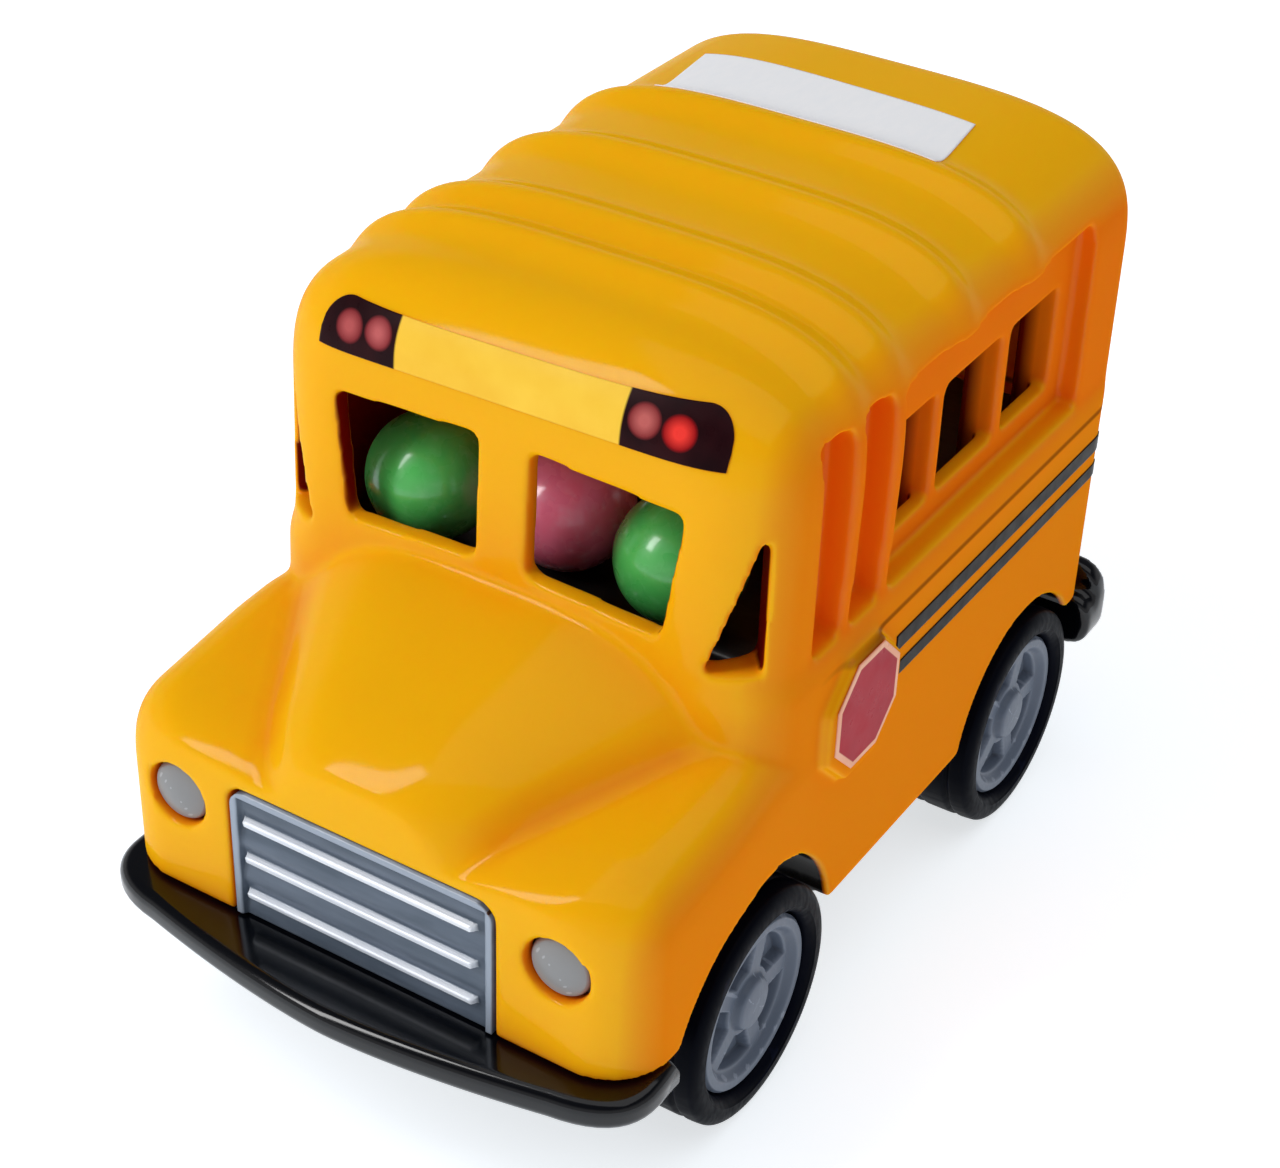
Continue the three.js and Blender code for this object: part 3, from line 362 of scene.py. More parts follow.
openings = [
    prism("cut", rect(-FAR, FAR, -FAR, FAR), 2, BELOW, SILL_Z),
    prism("cut", rect(-WIDE, WIDE, -FAR, AXLE_Y["front"]), 2, 0, NOSE_SILL_Z),
    prism("cut", rect(-WIDE, WIDE, AXLE_Y["rear"], FAR), 2, 0, REAR_SILL_Z),
    prism("cut", rect(-DOOR_HALF, DOOR_HALF, DOOR_LOW, DOOR_HIGH), 1,
          REAR_TOP_Y - REAR_WALL - DOOR_PAST, REAR_TOP_Y + OVERCUT),
    prism("cut", round_rect(-GRILLE_HALF, GRILLE_HALF, SILL_Z - OVERCUT, GRILLE_TOP, GRILLE_ROUND),
          *front_cut),
]
openings += [prism("cut", circle(x, LAMP_Z, LAMP_R), *front_cut) for x in (LAMP_X, -LAMP_X)]
work(shell, "DIFFERENCE", side_tools() + cab_tools() + wells + openings)
soften(shell, grain=0.36, passes=8, most=190000)


def wire(tree, node, **sockets):
    """Gives a node's sockets a value or a link, by name or, as i0, i1 and so on, by number."""
    for key, value in sockets.items():
        numbered = key[0] == "i" and key[1:].isdigit()
        socket = node.inputs[int(key[1:]) if numbered else key.replace("_", " ")]
        if isinstance(value, bpy.types.NodeSocket):
            tree.links.new(value, socket)
        else:
            socket.default_value = value
    return node


def add_node(tree, kind, settings=None, **sockets):
    """A new shader node with its settings and its sockets."""
    node = tree.nodes.new("ShaderNode" + kind)
    for key, value in (settings or {}).items():
        setattr(node, key, value)
    return wire(tree, node, **sockets)


class Finish:
    """A material on Object coordinates, put together in short steps."""

    def __init__(self, name):
        """A new material, and where on the piece each point lies."""
        self.material = bpy.data.materials.new(name)
        self.material.use_nodes = True
        self.tree = self.material.node_tree
        self.where = self.add("TexCoord").outputs["Object"]

    def add(self, kind, settings=None, **sockets):
        """A new node of this material."""
        return add_node(self.tree, kind, settings, **sockets)

    def maths(self, operation, first, second=0.0):
        """One sum on two values."""
        return self.add("Math", {"operation": operation}, i0=first, i1=second).outputs[0]

    def split(self, vector):
        """The three parts of a vector."""
        return self.add("SeparateXYZ", Vector=vector).outputs

    def reach(self, place, keep=(1, 1, 1)):
        """Distance from a place in millimetres, along the axes that are kept."""
        flat = self.add("VectorMath", {"operation": "MULTIPLY"}, i0=self.where, i1=keep).outputs[0]
        place = [part * MM for part in place]
        node = self.add("VectorMath", {"operation": "DISTANCE"}, i0=flat, i1=place)
        return node.outputs["Value"]

    def speckle(self, scale, detail=2.0, stretch=None):
        """Noise from 0 to 1 with that many waves to the metre, drawn out by a stretch."""
        where = self.add("Mapping", Vector=self.where, Scale=stretch).outputs[0] if stretch else self.where
        return self.add("TexNoise", Vector=where, Scale=scale, Detail=detail).outputs[0]

    def rescale(self, value, low, high, from_low=0.3, from_high=0.7):
        """A value moved from one range to another, and held at the ends."""
        return self.add("MapRange", Value=value, From_Min=from_low, From_Max=from_high,
                        To_Min=low, To_Max=high).outputs[0]

    def blend(self, share, first, second):
        """A mix of two colours by a share from 0 to 1."""
        return self.add("Mix", {"data_type": "RGBA"}, i0=share, i6=first, i7=second).outputs[2]

    def clouds(self, scale, first, second, detail=2.0, share=1.0, stretch=None):
        """Two colours mixed by noise, with at most a share of the second."""
        return self.blend(self.rescale(self.speckle(scale, detail, stretch), 0.0, share), first, second)

    def band(self, value, low, high, soft):
        """One between two places in millimetres and nought outside them, with soft ends."""
        rise = self.rescale(value, 0.0, 1.0, (low - soft) * MM, (low + soft) * MM)
        fall = self.rescale(value, 1.0, 0.0, (high - soft) * MM, (high + soft) * MM)
        return self.maths("MULTIPLY", rise, fall)

    def shared(self, *masks):
        """All masks multiplied together."""
        total = masks[0]
        for mask in masks[1:]:
            total = self.maths("MULTIPLY", total, mask)
        return total

    def bump(self, strength, depth, height):
        """A bent normal from a height, as deep as the depth in millimetres."""
        return self.add("Bump", Strength=strength, Distance=depth * MM, Height=height).outputs[0]

    def skin(self, strength, waves, weight):
        """A bent normal from a moulded skin: fine noise plus a weight times slow waves."""
        height = self.add("Math", {"operation": "MULTIPLY_ADD"}, i0=self.speckle(waves, 1.0),
                          i1=weight, i2=self.speckle(1400.0, 3.0)).outputs[0]
        return self.bump(strength, 0.4, height)

    def paint(self, **sockets):
        """Sets or links sockets of the material's own shader."""
        wire(self.tree, self.tree.nodes["Principled BSDF"], **sockets)
        return self.material


def srgb(red, green, blue):
    """A colour as the eye reads it, from 0 to 255, as light for the shader."""
    part = np.array([red, green, blue]) / 255
    light = np.where(part <= 0.04045, part / 12.92, ((part + 0.055) / 1.055) ** 2.4)
    return (*light.tolist(), 1.0)


BAND_Z, BAND_Y, BAND_X = (45.6, 67.0), (-14.6, 47.6), (19.0, 40.0)
VALLEY_FRONT_X, VALLEY_REAR_X, VALLEY_SPAN = 10.8, 22.6, (-1.4, 1.0)
VALLEY_Y, VALLEY_Z, VALLEY_SHADE_SHARE = (-43.0, -25.0), (30.0, 43.0), 0.5
INSIDE_X, INSIDE_Y, INSIDE_Z, INNER_WALL_Z = (-9.0, 22.2), (-13.0, 43.0), (44.0, 62.0), (44.0, 80.0)
WELL_RIM, WELL_LIP, BELT_SHADOW_SPAN = 0.4, 0.6, (-0.17, 0.37)
SCRATCH_STRETCH = (1.0, 9.0, 4.0)


def yellow_plastic():
    """Glossy yellow, blended to deeper colours by masks of place and facing multiplied together, all
    painted shade: orange on the sides, in the window band, in the bonnet valleys and in hollows, dark
    inside and in the wheel wells, and a painted shadow line along the belt."""
    f = Finish("yellow_plastic")
    x, y, z = f.split(f.where)
    facing_x, facing_y, facing_z = f.split(f.add("TexCoord").outputs["Normal"])
    across = f.maths("ABSOLUTE", x)
    colour = f.clouds(30.0, srgb(246, 178, 12), srgb(244, 166, 12), share=0.25)
    # Painted shade: faces that look left or right are blended to a deeper orange.
    painted_side_shade = f.rescale(f.maths("ABSOLUTE", facing_x), 0.0, 1.0, 0.6, 0.98)
    colour = f.blend(painted_side_shade, colour, srgb(236, 130, 16))
    # Painted shade: the sunk window band, where it does not face up, is deepened to red-orange.
    window_band_shade = f.shared(f.band(z, *BAND_Z, 0.9), f.band(y, *BAND_Y, 1.2),
                           f.band(across, *BAND_X, 1.0), f.rescale(facing_z, 0.85, 0.0, 0.2, 0.75))
    colour = f.blend(window_band_shade, colour, srgb(236, 112, 14))
    # Painted shade: the valleys between bonnet and fenders are deepened to orange.
    valley_x = f.rescale(y, VALLEY_FRONT_X * MM, VALLEY_REAR_X * MM, NOSE_Y * MM, CAB_Y * MM)
    valley_shade = f.shared(f.band(f.maths("SUBTRACT", across, valley_x), *VALLEY_SPAN, 1.2),
                      f.band(y, *VALLEY_Y, 1.5), f.band(z, *VALLEY_Z, 1.0))
    colour = f.blend(f.maths("MULTIPLY", valley_shade, VALLEY_SHADE_SHARE), colour, srgb(230, 112, 14))
    # Painted shade: places that see little open sky, found by ambient occlusion, are deepened to orange.
    open_sky_for_shade = f.add("AmbientOcclusion", {"samples": 8}, Distance=14 * MM).outputs["AO"]
    colour = f.blend(f.rescale(open_sky_for_shade, 1.0, 0.0, 0.22, 0.97), colour, srgb(238, 110, 10))
    # Painted shade: inner walls that face inwards are made dark red.
    inward = f.rescale(f.maths("MULTIPLY", x, facing_x), 1.0, 0.0, -17 * MM, -9 * MM)
    inner_wall_shade = f.shared(inward, f.band(z, *INNER_WALL_Z, 0.4))
    colour = f.blend(inner_wall_shade, colour, srgb(104, 10, 2))
    # Painted shade: the inside seen through the windows is made dark red.
    deep = f.shared(f.band(across, *INSIDE_X, 0.8), f.band(z, *INSIDE_Z, 0.5),
                    f.band(y, *INSIDE_Y, 1.0))
    colour = f.blend(deep, colour, srgb(104, 10, 2))
    # Painted shade: the wheel wells and a thin rim round them are made near black.
    for middle, height, radius in ARCHES:
        from_axle = f.reach((0, middle, height), keep=(0, 1, 1))
        well_shade = f.shared(f.band(from_axle, -radius, radius + WELL_RIM, 0.15),
                        f.band(across, 0.0, SALOON_HALF - WELL_LIP, 0.2))
        colour = f.blend(well_shade, colour, srgb(14, 9, 8))
    # Painted shadow: a thin dark line along the belt, fading out towards the front.
    belt_shadow_line = f.shared(f.band(z, BELT_Z + BELT_SHADOW_SPAN[0], BELT_Z + BELT_SHADOW_SPAN[1], 0.15),
                      f.rescale(y, 0.0, 0.75, -14 * MM, -4 * MM))
    lit = f.maths("MAXIMUM", facing_z, f.maths("MULTIPLY", facing_y, -1.0))
    return f.paint(
        Base_Color=f.blend(belt_shadow_line, colour, srgb(110, 48, 6)),
        Roughness=f.rescale(f.speckle(220.0, 4.0, SCRATCH_STRETCH), 0.27, 0.36),
        Normal=f.skin(0.015, 70.0, 4.0),
        Coat_Weight=f.rescale(lit, 0.01, 0.2, 0.25, 0.75), Coat_Roughness=0.1,
        Specular_IOR_Level=0.0, Subsurface_Weight=0.3, Subsurface_Radius=(1.0, 0.3, 0.03),
        Subsurface_Scale=0.003)


def dress(piece, finish, body, slot=None, *nodes):
    """Gives a piece its finish and the body it moves with, and hides any CAD nodes it stands for. The slot
    is not used.
    """
    piece.data.materials.clear()
    piece.data.materials.append(finish)
    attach(piece, body)
    if nodes:
        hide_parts(*nodes)


yellow = yellow_plastic()
dress(shell, yellow, "bus", "body_yellow", "body_shell")

# Chassis: one black moulding with both bumpers, the floor, the axle bearings and the posts under
# the tray. It closes the shell from below. Plates, posts and bearings are joined, bored and
# softened, and the front bumper's smooth bow is joined on last.
BASE_TOP, BASE_T, BASE_HALF, BASE_ROUND, BASE_SET = 15.9, 2.8, ARCH_INNER - 1.0, 0.6, 4
base_low = BASE_TOP - BASE_T
SIDE_PLATE_CLEAR, SIDE_PLATE_ROUND = 1.5, 1.5
BUMPER_TOP, BUMPER_H, BUMPER_HALF, BUMPER_ROUND = 18.7, 3.1, 29.7, 1.2
FRONT_REACH, BUMPER_END_REACH, BUMPER_TURN, BOW_POWER = 6.2, 1.3, 7.5, 1.6
CORNER_LEAD, CORNER_END, BUMPER_BACK, BUMPER_TUCK = 1.0, 3.4, (6.5, 8.0), 3.0
TAIL_TOP, TAIL_Y, TAIL_ROUND, TAIL_FOOT_ROUND = 22.4, 51.0, 4.2, 2.8
TRAY_T, POST_R, POST_X = 1.8, 2.4, 12.0
POST_Y = CAB_Y + SALOON_LENGTH * np.array([0.18, 0.6, 0.89])
AXLE_R, BEARING_SIDE, BEARING_UNDER, BEARING_ROUND = 1.5, 2.4, 2.0, 1.6
BEARING_IN, BEARING_OUT = BASE_HALF - 5, BASE_HALF - 1


def bumper_outline():
    """The front bumper from above: a bow that falls back as |x|^1.6, a quadratic curve round each
    corner, and short sides."""
    turn = BUMPER_HALF - BUMPER_TURN
    x = np.linspace(-turn, turn, 81)
    bow = 1 - (np.abs(x) / BUMPER_HALF) ** BOW_POWER
    front = np.stack([x, NOSE_Y - BUMPER_END_REACH - (FRONT_REACH - BUMPER_END_REACH) * bow], -1)
    t = np.linspace(0, 1, 12)[1:, None]
    corner = np.array([BUMPER_HALF, front[-1, 1] + CORNER_LEAD])
    end = np.array([BUMPER_HALF, NOSE_Y + CORNER_END])
    right = (1 - t) ** 2 * front[-1] + 2 * t * (1 - t) * corner + t ** 2 * end
    back = [[BUMPER_HALF, NOSE_Y + BUMPER_BACK[0]], [BUMPER_HALF - BUMPER_TUCK, NOSE_Y + BUMPER_BACK[1]]]
    right = np.concatenate([right, back])
    return np.concatenate([front, right, right[::-1] * [-1, 1]])


def front_bumper(radius):
    """The bumper's outline in rings from bottom to top, drawn in along its normals by a quarter
    circle at each edge."""
    outline = bumper_outline()
    along = np.roll(outline, -1, axis=0) - np.roll(outline, 1, axis=0)
    inward = np.stack([-along[:, 1], along[:, 0]], -1) / np.linalg.norm(along, axis=1, keepdims=True)
    turn = np.linspace(0, np.pi / 2, 12)
    draw, climb = radius * (1 - np.sin(turn)), radius * (1 - np.cos(turn))
    draw = np.concatenate([draw, draw[::-1]])
    z = BUMPER_TOP - BUMPER_H + np.concatenate([climb, BUMPER_H - climb[::-1]])
    flat = outline[None] + inward[None] * draw[:, None, None]
    rings = np.concatenate([flat, np.broadcast_to(z[:, None, None], (*flat.shape[:2], 1))], -1)
    return stack("bumper", rings)


def plate(name, half, y0, y1, radius):
    """A flat plate of the floor, as wide on both sides, with round corners from above."""
    return prism(name, round_rect(-half, half, y0, y1, radius), 2, base_low, BASE_TOP)


def moulded(name, colour, deep, pale, rough, coat=0.0, grain=0.02, scuffs=0.08, shine=0.5):
    """Moulded plastic: clouds of a deeper colour, paler on sharp outward edges and deeper in hollows as
    painted shade, both by how sharply the surface bends, with fine scratches and a fine skin."""
    f = Finish(name)
    bend = f.add("NewGeometry").outputs["Pointiness"]
    body = f.clouds(35.0, colour, deep, share=0.35)
    body = f.blend(f.rescale(bend, 0.0, 0.6, 0.51, 0.58), body, pale)
    # Painted shade: where the surface bends inwards, in hollows and creases, the colour goes deeper.
    body = f.blend(f.rescale(bend, 0.6, 0.0, 0.43, 0.495), body, deep)
    scratch = f.speckle(220.0, 4.0, SCRATCH_STRETCH)
    return f.paint(Base_Color=body, Roughness=f.rescale(scratch, rough - scuffs / 2, rough + scuffs),
                   Normal=f.skin(grain, 90.0, 3.0), Coat_Weight=coat, Coat_Roughness=0.12,
                   Specular_IOR_Level=shine)


chassis = plate("chassis_base", BASE_HALF, NOSE_Y + BASE_SET, REAR_Y, BASE_ROUND)
side_clear = ARCH_R + SIDE_PLATE_CLEAR
plates = [
    plate("plate", LOWER_HALF_IN - GAP, AXLE_Y["front"] + side_clear, AXLE_Y["rear"] - side_clear,
          SIDE_PLATE_ROUND),
    prism("tail", round_rect(-BUMPER_HALF, BUMPER_HALF, base_low, REAR_SILL_Z - GAP, TAIL_FOOT_ROUND),
          1, AXLE_Y["rear"] + ARCH_R + GAP, TAIL_Y),
    prism("tail", round_rect(-BUMPER_HALF, BUMPER_HALF, base_low, TAIL_TOP, TAIL_ROUND),
          1, REAR_Y + GAP, TAIL_Y),
]
posts = [prism("post", circle(x, y, POST_R, 32), 2, base_low, TRAY_TOP - TRAY_T - GAP)
         for x in (-POST_X, POST_X) for y in POST_Y]
bearing_half = AXLE_R + BEARING_SIDE
bearings = sum([both_sides("bearing", round_rect(y - bearing_half, y + bearing_half,
                                                 WHEEL_R - AXLE_R - BEARING_UNDER, BASE_TOP,
                                                 BEARING_ROUND), BEARING_IN, BEARING_OUT)
                for y in AXLE_Y.values()], [])
bores = [prism("bore", circle(y, WHEEL_R, AXLE_R + GAP, 32), 0, -BODY_HALF, BODY_HALF)
         for y in AXLE_Y.values()]
work(chassis, "UNION", plates + posts + bearings)
work(chassis, "DIFFERENCE", bores)
soften(chassis, grain=0.4, passes=10, most=90000)
even_shading(work(chassis, "UNION", [front_bumper(BUMPER_ROUND)]))
black = moulded("black_plastic", srgb(3, 4, 8), srgb(2, 2, 5), srgb(9, 10, 15),
                rough=0.2, coat=0.8, grain=0.01, scuffs=0.06, shine=0.02)
dress(chassis, black, "bus", "base_black", "chassis")

# Candy tray: a plain black plate inside, at the height of the window sills, that the candy lies on.
# It is moulded flat and rests on the posts of the chassis.
TRAY_FRONT, TRAY_REAR, TRAY_ROUND = CAB_Y + WALL + 7, REAR_Y - REAR_WALL - 1.6, 3.4
tray_half = LOWER_HALF_IN - GAP
tray = prism("candy_plate", round_rect(-tray_half, tray_half, TRAY_FRONT, TRAY_REAR, TRAY_ROUND),
             2, TRAY_TOP - TRAY_T, TRAY_TOP)
soften(tray, grain=0.45, passes=3, most=30000)
tray_black = moulded("tray_plastic", srgb(22, 18, 18), srgb(12, 9, 9), srgb(40, 38, 40),
                     rough=0.45, grain=0.03)
dress(tray, tray_black, "bus", "tray_black", "candy_tray")

# Grille: a grey plate behind the front opening, with a thin raised frame and three raised bars
# painted white. It is clipped in from behind, against the inside of the wall.
GRILLE_SET, GRILLE_BACK = 0.5, WALL + GAP + 1.2
FRAME_W, FRAME_PROUD, FRAME_EDGE, FRAME_ROUND = 1.0, 0.45, 0.4, 1.7
BAR_LEFT, BAR_RIGHT, BAR_H, BAR_EDGE, BAR_END, BAR_PROUD = -13.0, 12.3, 0.8, 0.35, 0.4, 0.8
BAR_INK, SLOPE_DEEP = 0.47, 0.35
bar_z = GRILLE_TOP - (GRILLE_TOP - NOSE_SILL_Z) * np.array([0.82, 0.535, 0.25])
face_y = NOSE_Y + GRILLE_SET
grille_half, grille_low, grille_high = GRILLE_HALF - GAP, NOSE_SILL_Z, GRILLE_TOP - GAP


def drawn_in(value, end):
    """How far a value lies past the start of a round corner that ends at an edge."""
    return np.maximum(value - end + FRAME_ROUND, 0)


def grille_face():
    """A height over x and z: the plate, sloped between the bars as sin^2, its frame and its bars,
    each a soft-edged band. The upper corners are pulled in to a quarter circle."""
    x, z = np.meshgrid(np.linspace(-grille_half, grille_half, 181),
                       np.linspace(grille_low, grille_high, 141))
    rim = np.maximum(smooth_step((np.abs(x) - grille_half + FRAME_W) / FRAME_EDGE),
                     smooth_step((z - grille_high + FRAME_W) / FRAME_EDGE))
    bars = sum(smooth_step((BAR_H / 2 - np.abs(z - centre)) / BAR_EDGE + 0.5) for centre in bar_z)
    bars = bars * smooth_step((BAR_RIGHT - x) / BAR_END + 0.5) * smooth_step((x - BAR_LEFT) / BAR_END + 0.5)
    slope = SLOPE_DEEP * np.sin((z - grille_low) / (bar_z[1] - bar_z[0]) * np.pi) ** 2
    y = face_y + slope * (1 - rim) - FRAME_PROUD * rim - BAR_PROUD * bars
    corner_x, corner_z = drawn_in(np.abs(x), grille_half), drawn_in(z, grille_high)
    over = np.maximum(np.hypot(corner_x, corner_z) / FRAME_ROUND, 1)
    start_x, start_z = grille_half - FRAME_ROUND, grille_high - FRAME_ROUND
    x = np.sign(x) * np.where(np.abs(x) > start_x, start_x + corner_x / over, np.abs(x))
    z = np.where(z > start_z, start_z + corner_z / over, z)
    return np.stack([x, y, z], -1)


def slab(name, front, depth):
    """A closed slab: a front sheet, a flat back behind it, and walls round the edge."""
    rows, columns = front.shape[:2]
    back = front.copy()
    back[..., 1] = depth
    top = grid_faces(rows, columns)
    ring = np.concatenate([np.arange(columns), np.arange(1, rows) * columns + columns - 1,
                           rows * columns - 2 - np.arange(columns - 1),
                           np.arange(rows - 2, 0, -1) * columns])
    after = np.roll(ring, -1)
    size = rows * columns
    walls = np.stack([after, ring, ring + size, after + size], -1)
    return new_piece(name, np.concatenate([front.reshape(-1, 3), back.reshape(-1, 3)]),
                     np.concatenate([top, (top + size)[:, ::-1], walls]).tolist())


def grille_paint():
    """Grey in upright streaks, a paler grey painted highlight where the frame stands proud, and white on
    the bars.
    """
    f = Finish("grille_grey_white_bars")
    x, y, z = f.split(f.where)
    streak = f.rescale(f.speckle(120.0, 3.0, (1, 1, 6)), 0.0, 1.0)
    colour = f.blend(streak, srgb(70, 82, 96), srgb(92, 103, 118))
    # Painted highlight: the raised frame is made paler grey.
    painted_frame_highlight = f.rescale(y, 1.0, 0.0, (face_y - 0.42) * MM, (face_y - 0.28) * MM)
    colour = f.blend(painted_frame_highlight, colour, srgb(150, 160, 174))
    white = f.blend(streak, srgb(242, 245, 250), srgb(226, 231, 240))
    for centre in bar_z:
        bar = f.shared(f.band(z, centre - BAR_INK, centre + BAR_INK, 0.05),
                       f.band(x, BAR_LEFT - 0.1, BAR_RIGHT + 0.1, 0.1))
        colour = f.blend(bar, colour, white)
    return f.paint(Base_Color=colour, Roughness=f.rescale(f.speckle(500.0, 4.0), 0.3, 0.4),
                   Normal=f.bump(0.03, 0.3, f.speckle(1500.0)), Metallic=0.15)


grille = even_shading(slab("grille_plate", grille_face(), NOSE_Y + GRILLE_BACK))
dress(grille, grille_paint(), "bus", "grille_grey", "grille_insert")

# Headlights: two grey lenses moulded to a low dome, each in a round hole in the front.
# A flange behind the wall holds the lens.
LENS_R, LENS_RIM, LENS_SET, LENS_DOME = LAMP_R - GAP, 0.25, 0.12, 0.7
FLANGE_R, FLANGE_FRONT, FLANGE_BACK = LENS_R + 1.4, 2.3, 3.5
LENS_EDGE_R, LENS_EDGE_FRONT, LENS_EDGE_BACK = LENS_R - 0.08, 0.92, 1.05
HANDS = ((1, "left"), (-1, "right"))


def weld(piece, reach=0.01):
    """Merges points that lie closer together than a reach in millimetres."""
    mend = piece.modifiers.new("mend", "WELD")
    mend.merge_threshold = reach * MM
    settle(piece)
    return piece


def turned(name, profile, steps, axis, place):
    """A profile of (radius, distance) pairs carried round X, Y or Z, its ends closed on the axis."""
    profile = np.asarray(profile, float)
    turn = np.linspace(0, 2 * np.pi, steps, endpoint=False)[None, :]
    radius, along = profile[:, :1], np.broadcast_to(profile[:, 1:], (len(profile), steps))
    a, b = radius * np.cos(turn), radius * np.sin(turn)
    points = {"x": (along, a, b), "y": (a, along, -b), "z": (a, b, along)}[axis]
    faces = grid_faces(len(profile), steps, wrap_columns=True)[:, ::-1].tolist()
    return weld(new_piece(name, np.stack(points, -1) + np.asarray(place, float), faces))


radius = np.linspace(LENS_R - LENS_RIM, 0, 60)
lens_profile = [(0, FLANGE_BACK), (FLANGE_R, FLANGE_BACK), (FLANGE_R, FLANGE_FRONT),
                (LENS_R, FLANGE_FRONT), (LENS_R, LENS_EDGE_BACK), (LENS_EDGE_R, LENS_EDGE_FRONT)]
lens_profile += list(zip(radius, LENS_SET + LENS_DOME * (radius / LENS_R) ** 2))
lamp_grey = moulded("lamp_grey", srgb(138, 138, 138), srgb(98, 97, 97), srgb(176, 178, 182),
                    rough=0.42, coat=0.1, grain=0.01, scuffs=0.04)
for side, hand in HANDS:
    lens = turned("headlight_lens_" + hand, lens_profile, 72, "y", (side * LAMP_X, NOSE_Y, LAMP_Z))
    dress(even_shading(lens), lamp_grey, "bus", "lamp_grey", "headlight_" + hand)

# Axles: two bright steel rods, drawn and cut, with a small chamfer at each end. They turn in the
# bearings of the chassis and end inside the hubs.
WHEEL_FACE, HUB_DISH, HUB_FLOOR, ROD_CHAMFER = 28.7, 1.6, 0.6, 0.3
axle_end = WHEEL_FACE - HUB_DISH - HUB_FLOOR - GAP


def fine(profile, steps):
    """A profile with its long runs cut into even short ones."""
    profile = np.asarray(profile, float)
    run = np.concatenate([[0], np.cumsum(np.linalg.norm(np.diff(profile, axis=0), axis=1))])
    at = np.union1d(np.linspace(0, run[-1], steps), run)
    return np.stack([np.interp(at, run, profile[:, 0]), np.interp(at, run, profile[:, 1])], -1)


def rod_profile(radius, low, high, chamfer):
    """A rod from its high end to its low end, chamfered at both."""
    return [(0, high), (radius - chamfer, high), (radius, high - chamfer), (radius, low + chamfer),
            (radius - chamfer, low), (0, low)]


def drawn_steel():
    """Bright steel with fine streaks along the rod, in colour and in gloss."""
    f = Finish("drawn_steel")
    streak = f.speckle(900.0, 4.0, (0.05, 1, 1))
    colour = f.blend(f.rescale(streak, 0.0, 1.0), srgb(150, 153, 158), srgb(190, 193, 198))
    return f.paint(Base_Color=colour, Roughness=f.rescale(streak, 0.2, 0.42), Metallic=1.0)


steel = drawn_steel()
rod = fine(rod_profile(AXLE_R, -axle_end, axle_end, ROD_CHAMFER), 60)
for name, y in AXLE_Y.items():
    axle = even_shading(turned(name + "_axle_rod", rod, 48, "x", (0, y, WHEEL_R)))
    dress(axle, steel, name + "_wheels", "axle_steel", name + "_axle")

# Tyres: black plastic rings with round shoulders, a shallow groove each side of the tread and a
# bead by the rim. Each is moulded in one and pressed over its hub.
WHEEL_W, RIM_R = 9.0, 8.9
GROOVE_X, GROOVE_W, GROOVE_DEEP, TREAD_CROWN = 1.9, 0.28, 0.35, 0.12
SHOULDER_X, SHOULDER_Z, SIDE_TOP, SIDE_FOOT, SIDE_SET = 0.9, 1.5, 1.75, 0.9, 0.12
BEAD_OUT, BEAD_W, BEAD_PROUD = 1.3, 0.22, 0.22
DITCH_OUT, DITCH_W, DITCH_DEEP = 0.72, 0.25, 0.12
LIP = ((0.55, 0.45), (GAP, 1.0))
wheel_half = WHEEL_W / 2


def tyre_profile():
    """The tyre's section: a crowned tread with two bell-shaped grooves, quarter-round shoulders, a
    side wall with a bell-shaped bead and ditch, and the bore."""
    s = np.linspace(-1, 1, 121)
    across = s * (wheel_half - SHOULDER_X)
    groove = GROOVE_DEEP * np.exp(-((np.abs(across) - GROOVE_X) / GROOVE_W) ** 2)
    tread = np.stack([WHEEL_R - groove - TREAD_CROWN * s ** 4, across], -1)
    t = np.linspace(0, np.pi / 2, 14)[1:]
    shoulder = np.stack([WHEEL_R - TREAD_CROWN - SHOULDER_Z * (1 - np.cos(t)),
                         wheel_half - SHOULDER_X + SHOULDER_X * np.sin(t)], -1)
    r = np.linspace(WHEEL_R - SIDE_TOP, RIM_R + SIDE_FOOT, 40)
    bead = BEAD_PROUD * np.exp(-((r - RIM_R - BEAD_OUT) / BEAD_W) ** 2)
    ditch = DITCH_DEEP * np.exp(-((r - RIM_R - DITCH_OUT) / DITCH_W) ** 2)
    wall = np.stack([r, np.minimum(wheel_half - SIDE_SET + bead - ditch, wheel_half)], -1)
    lip = np.array([[RIM_R + out, wheel_half - back] for out, back in LIP])
    side = np.concatenate([shoulder, wall, lip])
    profile = np.concatenate([side[::-1] * [1, -1], tread, side])
    return np.concatenate([profile, profile[:1]])[::-1]


tyre_black = moulded("tyre_black", srgb(4, 6, 15), srgb(2, 3, 8), srgb(14, 18, 36),
                     rough=0.4, grain=0.03, scuffs=0.14, shine=0.03)
wheels = [(name, hand, side, np.array([side * (WHEEL_FACE - wheel_half), y, WHEEL_R]))
          for name, y in AXLE_Y.items() for side, hand in HANDS]
for name, hand, side, place in wheels:
    tyre = even_shading(turned(f"tyre_ring_{name}_{hand}", tyre_profile(), 160, "x", place))
    dress(tyre, tyre_black, name + "_wheels", "tyre_black", f"tyre_{name}_{hand}")

# Hubs: grey discs with a round rim, a dished face, five wide spokes with sunk pockets between them
# and a low cap in the middle. Each is moulded in one and pressed on the end of its axle.
SPOKES, SPOKE_HALF, SPOKE_EDGE = 5, 0.95, 0.35
POCKET_IN, POCKET_OUT, POCKET_EDGE, POCKET_DEEP = AXLE_R + 1.9, RIM_R - 1.95, 0.4, 1.2
RIM_FOOT, RIM_SLOPE, RIM_RISE, RIM_EDGE = 1.9, 0.9, HUB_DISH - 0.75, 0.35
RIM_FLAT, RIM_TURN = 1.0, 0.95
CAP_R, CAP_EDGE, CAP_PROUD, CAP_CROWN = AXLE_R + 0.9, 0.6, 0.8, 0.2
HUB_WEB, HUB_BACK, HUB_CHAMFER, RIM_T, SOCKET_T, SOCKET_END = 2.4, 1.0, 0.2, 1.4, 2.0, 0.6
HUB_STEPS = 240


